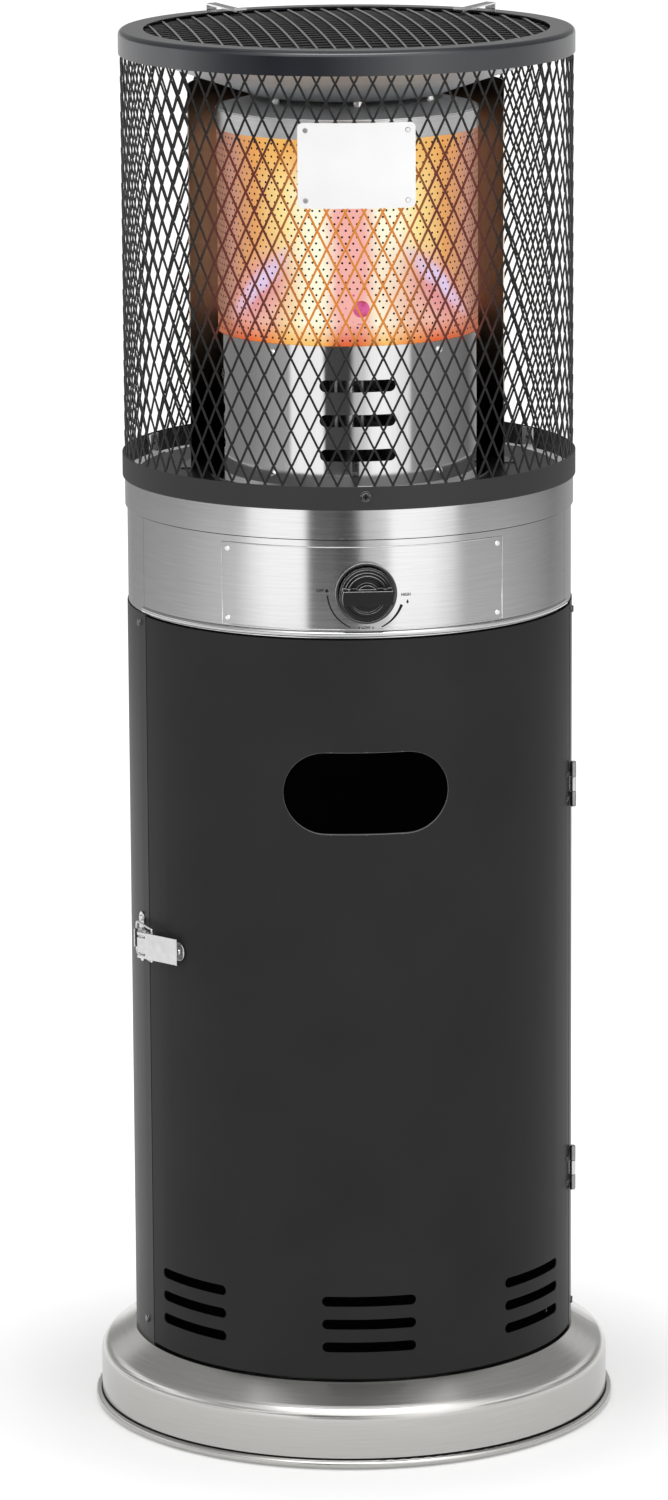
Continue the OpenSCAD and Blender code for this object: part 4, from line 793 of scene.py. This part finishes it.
def dial_arc(name, start, end, start_width, end_width):
    """A line round the knob that grows from one width to another."""
    points = []
    for i in range(ARC_STEPS + 1):
        share = i / ARC_STEPS
        turn = math.radians(start + (end - start) * share)
        half = (start_width + (end_width - start_width) * share) / 2
        for r in (DIAL_RADIUS - half, DIAL_RADIUS + half):
            points.append(on_plate(r * math.cos(turn), r * math.sin(turn)))
    printed(name, points, [[2 * i, 2 * i + 1, 2 * i + 3, 2 * i + 2] for i in range(ARC_STEPS)])


def dial_dot(name, x, z, radius):
    turns = full_turn(DOT_SIDES)
    points = [on_plate(x + radius * math.cos(turn), z + radius * math.sin(turn)) for turn in turns]
    printed(name, points, one_face(points))


def dial_flame(name, x, z, height):
    """A small drop-shaped flame mark."""
    half = height / 2
    left = [(-side, rise) for side, rise in reversed(FLAME_SIDE[1:-1])]
    points = [on_plate(x + half * side, z + half * rise) for side, rise in FLAME_SIDE + left]
    printed(name, points, one_face(points))


for word, spot in DIAL_WORDS.items():
    dial_word(word, *spot)
dial_dot("dial_off_dot", *OFF_DOT)
for name, spot in DIAL_FLAMES.items():
    dial_flame(name, *spot)
for name, course in DIAL_ARCS.items():
    dial_arc(name, *course)


# Turned edges of the plate and the collar, and painted shadow lines under the collar and over the base's rim
TRIM_SIDES = 8
TRIM_STEPS = 24
HEM_STEPS = 180
PLATE_TRIM = 0.5 * MM
HEM = 0.8 * MM
SHADOW_HEIGHT = 1.1 * MM
SHADOW_LIFT = 0.05 * MM
COLLAR_STEP = 2.0 * MM
RIM_BEAD = 4.0 * MM
RIM_INSET = 1.5 * RIM_BEAD
RIM_SHADOW_SPAN = (3.2 * MM, 5.2 * MM)


def bead(name, path, radius):
    """A thin round bead along a closed path of points on the drum, each a radius, an angle and a height."""
    count = len(path)
    places = [Vector(on_drum(*step)) for step in path]
    points = []
    for i, (_, angle, _) in enumerate(path):
        outward = Vector(on_drum(1.0, angle, 0.0))
        along = (places[(i + 1) % count] - places[i - 1]).normalized()
        across = along.cross(outward)
        for turn in full_turn(TRIM_SIDES):
            points.append(places[i] + radius * (math.cos(turn) * outward + math.sin(turn) * across))
    piece(name, points, tube_faces(count, TRIM_SIDES), trim_steel, "root", smooth=True)


def shadow_line(name, radius, low, high):
    """A dark line round an upright wall, a painted shadow."""
    points = [on_drum(radius + SHADOW_LIFT, turn, z) for turn in full_turn(HEM_STEPS) for z in (low, high)]
    piece(name, points, round_wall(HEM_STEPS), painted_shade_black, "root", smooth=True)


def plate_trim():
    lowest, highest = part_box("label_plate")
    half = math.asin(highest.x / PLATE_RADIUS)
    turns = [half * (2 * i / TRIM_STEPS - 1) for i in range(TRIM_STEPS + 1)]
    path = [(PLATE_RADIUS, turn, lowest.z) for turn in turns]
    path += [(PLATE_RADIUS, turn, highest.z) for turn in reversed(turns)]
    bead("plate_trim", path, PLATE_TRIM)


def collar_hem():
    lowest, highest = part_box("collar_ring")
    bead("collar_hem", [(highest.x - HEM, turn, lowest.z + HEM) for turn in full_turn(HEM_STEPS)], HEM)
    shadow_line("collar_shadow", highest.x - COLLAR_STEP, lowest.z - SHADOW_HEIGHT, lowest.z)


def rim_shadow():
    lowest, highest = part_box("base_cover")
    rim = lowest.z + RIM_BEAD
    shadow_line("rim_shadow", highest.x - RIM_INSET, rim + RIM_SHADOW_SPAN[0], rim + RIM_SHADOW_SPAN[1])


plate_trim()
collar_hem()
rim_shadow()


# Turned-in lip of the door round the hand slot
HAND_WIDTH = 156 * MM
HAND_HEIGHT = 79 * MM
HAND_Z = 652 * MM
LIP_DEPTH = 4.0 * MM
LIP_INSIDE = 0.15 * MM
LIP_OUTSIDE = 0.6 * MM
LIP_ARC_STEPS = 32
LIP_STRAIGHT_STEPS = 16


def hand_outline():
    """Steps round the hand slot, each the middle of its arc and the direction outwards."""
    half = (HAND_WIDTH - HAND_HEIGHT) / 2
    steps = []
    for side in (1, -1):
        for i in range(LIP_ARC_STEPS + 1):
            steps.append((side * half, math.pi * (i / LIP_ARC_STEPS - side / 2)))
        straight = math.pi * (1 - side / 2)
        for i in range(1, LIP_STRAIGHT_STEPS):
            steps.append((side * half * (1 - 2 * i / LIP_STRAIGHT_STEPS), straight))
    return steps


def hand_lip():
    drum = -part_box("door_panel")[0].y
    inside = HAND_HEIGHT / 2 - LIP_INSIDE
    outside = HAND_HEIGHT / 2 + LIP_OUTSIDE
    section = [(inside, 0), (inside, LIP_DEPTH), (outside, LIP_DEPTH), (outside, 0)]
    steps = hand_outline()
    points = []
    for middle, turn in steps:
        for reach, depth in section:
            x = middle + reach * math.cos(turn)
            points.append((x, depth - math.sqrt(drum ** 2 - x ** 2), HAND_Z + reach * math.sin(turn)))
    # The lip's light grey is a painted highlight on the door's black edge
    piece("hand_lip", points, tube_faces(len(steps), len(section)), lip_highlight_grey, "door")


hand_lip()


# Cross recesses in the screws of the guard and the burner housing, drawn as flat dark crosses of painted
# shade
HEAD_HEIGHT = 1.9 * MM
RECESS_LIFT = 0.05 * MM
GUARD_HEAD = 5.0 * MM
BURNER_HEAD = 3.4 * MM
BURNER_SCREW_ANGLES = (-141, -39, 39, 141)
GUARD_SCREW_ANGLES = (0, 120, 240)
RECESS_REACH = 0.5
RECESS_WIDTH = 0.14


def cross_recess(name, angle, radius, height, head):
    """A dark cross of painted shade on a screw head that faces outwards."""
    long, short = head * RECESS_REACH, head * RECESS_WIDTH
    quarter = [(short, long), (short, short), (long, short)]
    outline = []
    for _ in range(4):
        outline += quarter
        quarter = [(z, -x) for x, z in quarter]
    turn = math.radians(angle)
    points = [on_drum(radius + RECESS_LIFT, turn + x / radius, height + z) for x, z in outline]
    piece(name, points, one_face(points), painted_shade_black, "root")


def screw_recesses():
    lowest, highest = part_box("guard_screws")
    middle = (lowest.z + highest.z) / 2
    for angle in GUARD_SCREW_ANGLES:
        cross_recess("guard_recess_%d" % angle, angle, -lowest.y, middle, GUARD_HEAD)
    lowest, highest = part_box("burner_screws")
    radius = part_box("emitter_collar")[1].x + HEAD_HEIGHT
    for angle in BURNER_SCREW_ANGLES:
        for row, height in (("low", lowest.z + BURNER_HEAD), ("high", highest.z - BURNER_HEAD)):
            cross_recess("burner_recess_%s_%d" % (row, angle), angle, radius, height, BURNER_HEAD)


screw_recesses()


# Stage: floor and world
FLOOR_HALF = 60.0
FLOOR_CLOUDS = 0.4
FLOOR_WHITES = (grey(240), grey(243))
FLOOR_GLOW = (0.16, 0.45)
FLOOR_NEAR_FAR = (0.28, 0.6)
FILL = 0.75


def seen_directly(tree):
    """1 for camera rays and for reflections and refractions, so that metal shows the same white."""
    path = tree.nodes.new("ShaderNodeLightPath")
    seen = path.outputs["Is Camera Ray"]
    for ray in ("Is Glossy Ray", "Is Transmission Ray"):
        either = tree.nodes.new("ShaderNodeMath")
        either.operation = "MAXIMUM"
        tree.links.new(seen, either.inputs[0])
        tree.links.new(path.outputs[ray], either.inputs[1])
        seen = either.outputs["Value"]
    return seen


def stage_object(name, points, faces, recipe):
    mesh = bpy.data.meshes.new(name)
    mesh.from_pydata(points, [], faces)
    mesh.materials.append(recipe.material)
    obj = bpy.data.objects.new(name, mesh)
    bpy.context.scene.collection.objects.link(obj)
    return obj


def floor():
    recipe = Recipe("floor_white")
    recipe.feed("Base Color", recipe.ramp(recipe.noise(FLOOR_CLOUDS), *zip(CLOUD_SPAN, FLOOR_WHITES)))
    recipe.set(Roughness=0.9, Specular_IOR_Level=0.0, Emission_Color=WHITE)
    distance = recipe.share(recipe.length(recipe.place()), *FLOOR_NEAR_FAR)
    glow = recipe.spread(distance, *FLOOR_GLOW)
    recipe.feed("Emission Strength", recipe.calculate("MULTIPLY", seen_directly(recipe.tree), glow))
    corners = [(-FLOOR_HALF, -FLOOR_HALF, 0), (FLOOR_HALF, -FLOOR_HALF, 0),
               (FLOOR_HALF, FLOOR_HALF, 0), (-FLOOR_HALF, FLOOR_HALF, 0)]
    stage_object("floor", corners, [(0, 1, 2, 3)], recipe)


def studio_world():
    world = bpy.data.worlds.new("studio")
    world.use_nodes = True
    bpy.context.scene.world = world
    tree = world.node_tree
    fill = tree.nodes["Background"]
    white = tree.nodes.new("ShaderNodeBackground")
    for background, strength in ((fill, FILL), (white, 1.0)):
        background.inputs["Color"].default_value = WHITE
        background.inputs["Strength"].default_value = strength
    mix = tree.nodes.new("ShaderNodeMixShader")
    tree.links.new(seen_directly(tree), mix.inputs["Fac"])
    tree.links.new(fill.outputs["Background"], mix.inputs[1])
    tree.links.new(white.outputs["Background"], mix.inputs[2])
    tree.links.new(mix.outputs["Shader"], tree.nodes["World Output"].inputs["Surface"])


floor()
studio_world()


# Lamps: place and aim as seen from the camera's side, width, height and brightness
LAMPS = {
    "lamp_left": ((-2.2, -2.6, 1.1), (0, 0, 0.7), 1.8, 2.2, 1.5),
    "lamp_right": ((1.9, -2.8, 1.1), (0, 0, 0.7), 1.6, 2.2, 1.5),
    "lamp_top": ((0, -0.4, 3.4), (0, 0, 0.5), 2.4, 2.4, 1.0),
}
# Watts of a square metre of lamp that has a brightness of 1
LAMP_WATTS = 4


def turned(vector):
    """A place given as seen from the camera's side, in the row frame."""
    return Matrix.Rotation(CAMERA_AZIMUTH, 3, "Z") @ Vector(vector)


def softbox(name, place, aim, width, tall, brightness):
    lamp = bpy.data.lights.new(name, "AREA")
    lamp.shape = "RECTANGLE"
    lamp.size = width
    lamp.size_y = tall
    lamp.energy = LAMP_WATTS * width * tall * brightness
    obj = bpy.data.objects.new(name, lamp)
    bpy.context.scene.collection.objects.link(obj)
    obj.location = turned(place)
    obj.rotation_euler = (turned(aim) - obj.location).to_track_quat("-Z", "Y").to_euler()
    obj.visible_camera = False
    obj.visible_glossy = False


for name, settings in LAMPS.items():
    softbox(name, *settings)


# What shiny surfaces reflect: angles from the camera's side in degrees, each with a brightness
CARD_DISTANCE = 3.0
CARD_STEPS = 72
LOW_STOPS = [(-180, 0.9), (180, 0.9)]
BAND_STOPS = [
    (-180, 0.4), (-150, 0.42), (-125, 0.55), (-94, 0.72), (-71, 1.0), (-60, 1.1), (-50, 1.65), (-41, 2.05),
    (-22.5, 2.08), (-19.5, 0.27), (-8, 0.24), (-5, 0.12), (4, 0.12), (7, 0.9), (18, 1.2), (21.5, 2.15),
    (41, 2.0), (51, 1.5), (60, 0.85), (82, 0.8), (108, 0.57), (125, 0.4), (150, 0.46), (180, 0.4),
]
HOUSING_STOPS = [
    (-180, 0.4), (-126, 0.38), (-95, 0.42), (-71, 0.58), (-53, 0.7), (-50, 1.85), (-41, 1.9), (-22.5, 1.95),
    (-19.5, 0.12), (1, 0.1), (5, 1.0), (13, 1.3), (20, 1.9), (31, 2.0), (41, 1.85), (53, 1.55), (56, 0.52),
    (82, 0.4), (109, 0.33), (126, 0.25), (150, 0.5), (180, 0.4),
]
CAP_STOPS = [
    (-180, 0.5), (-150, 0.8), (-128, 1.25), (-91, 1.85), (-61, 0.55), (-36, 0.06), (-12, 0.3), (11, 1.0),
    (34, 1.87), (59, 1.52), (89, 1.2), (126, 1.25), (150, 0.8), (180, 0.5),
]
SHOULDER_STOPS = [
    (-180, 0.33), (-110, 0.45), (-75, 0.6), (-45, 1.4), (-30, 2.3), (45, 2.4), (60, 1.4), (80, 0.6),
    (110, 0.45), (180, 0.33),
]
HIGH_STOPS = [(-180, 0.4), (-70, 0.5), (-48, 1.6), (-35, 2.6), (45, 2.6), (58, 1.6), (80, 0.5), (180, 0.4)]
SPARK_STOPS = [(-180, 0.4), (-70, 0.5), (-48, 3.0), (-35, 9.0), (45, 9.0), (58, 3.0), (80, 0.5), (180, 0.4)]
# Cards from the floor up, each with the height of its upper edge
CARDS = {
    "card_low": (0.2, LOW_STOPS),
    "card_band": (0.43, BAND_STOPS),
    "card_housing": (0.8, HOUSING_STOPS),
    "card_cap": (1.5, CAP_STOPS),
    "card_shoulder": (3.4, SHOULDER_STOPS),
    "card_high": (4.4, HIGH_STOPS),
    "card_spark": (5.2, SPARK_STOPS),
    "card_highest": (6.5, HIGH_STOPS),
}


def reflection_card(name, low, high, stops):
    """A round wall that only reflections see, brighter and darker by its angle."""
    recipe = Recipe(name)
    angle, _ = round_place(recipe)
    peak = max(value for _, value in stops)
    shades = [(place, (value / peak, value / peak, value / peak, 1.0)) for place, value in stops]
    recipe.feed("Emission Color", by_angle(recipe, angle, shades))
    recipe.set(Base_Color=grey(0), Specular_IOR_Level=0.0, Emission_Strength=peak)
    points = [on_drum(CARD_DISTANCE, turn, z) for turn in full_turn(CARD_STEPS) for z in (low, high)]
    obj = stage_object(name, points, round_wall(CARD_STEPS), recipe)
    obj.rotation_euler.z = CAMERA_AZIMUTH
    obj.visible_camera = False
    obj.visible_diffuse = False
    obj.visible_shadow = False
    obj.visible_transmission = False


lower_edge = 0.0
for name, (upper_edge, stops) in CARDS.items():
    reflection_card(name, lower_edge, upper_edge, stops)
    lower_edge = upper_edge


# Camera
lens = bpy.data.cameras.new("photo_camera")
lens.sensor_width = SENSOR_MM
lens.lens = FOCAL_PIXELS / PHOTO_HEIGHT * SENSOR_MM
lens.clip_end = CLIP_END
camera = bpy.data.objects.new("photo_camera", lens)
bpy.context.scene.collection.objects.link(camera)
camera.matrix_world = (
    Matrix.Rotation(CAMERA_AZIMUTH, 4, "Z")
    @ Matrix.Translation(CAMERA_PLACE)
    @ Matrix.Rotation(math.pi / 2 - CAMERA_PITCH, 4, "X")
    @ Matrix.Rotation(CAMERA_ROLL, 4, "Z")
)
bpy.context.scene.camera = camera
bpy.context.scene.view_settings.view_transform = "Standard"
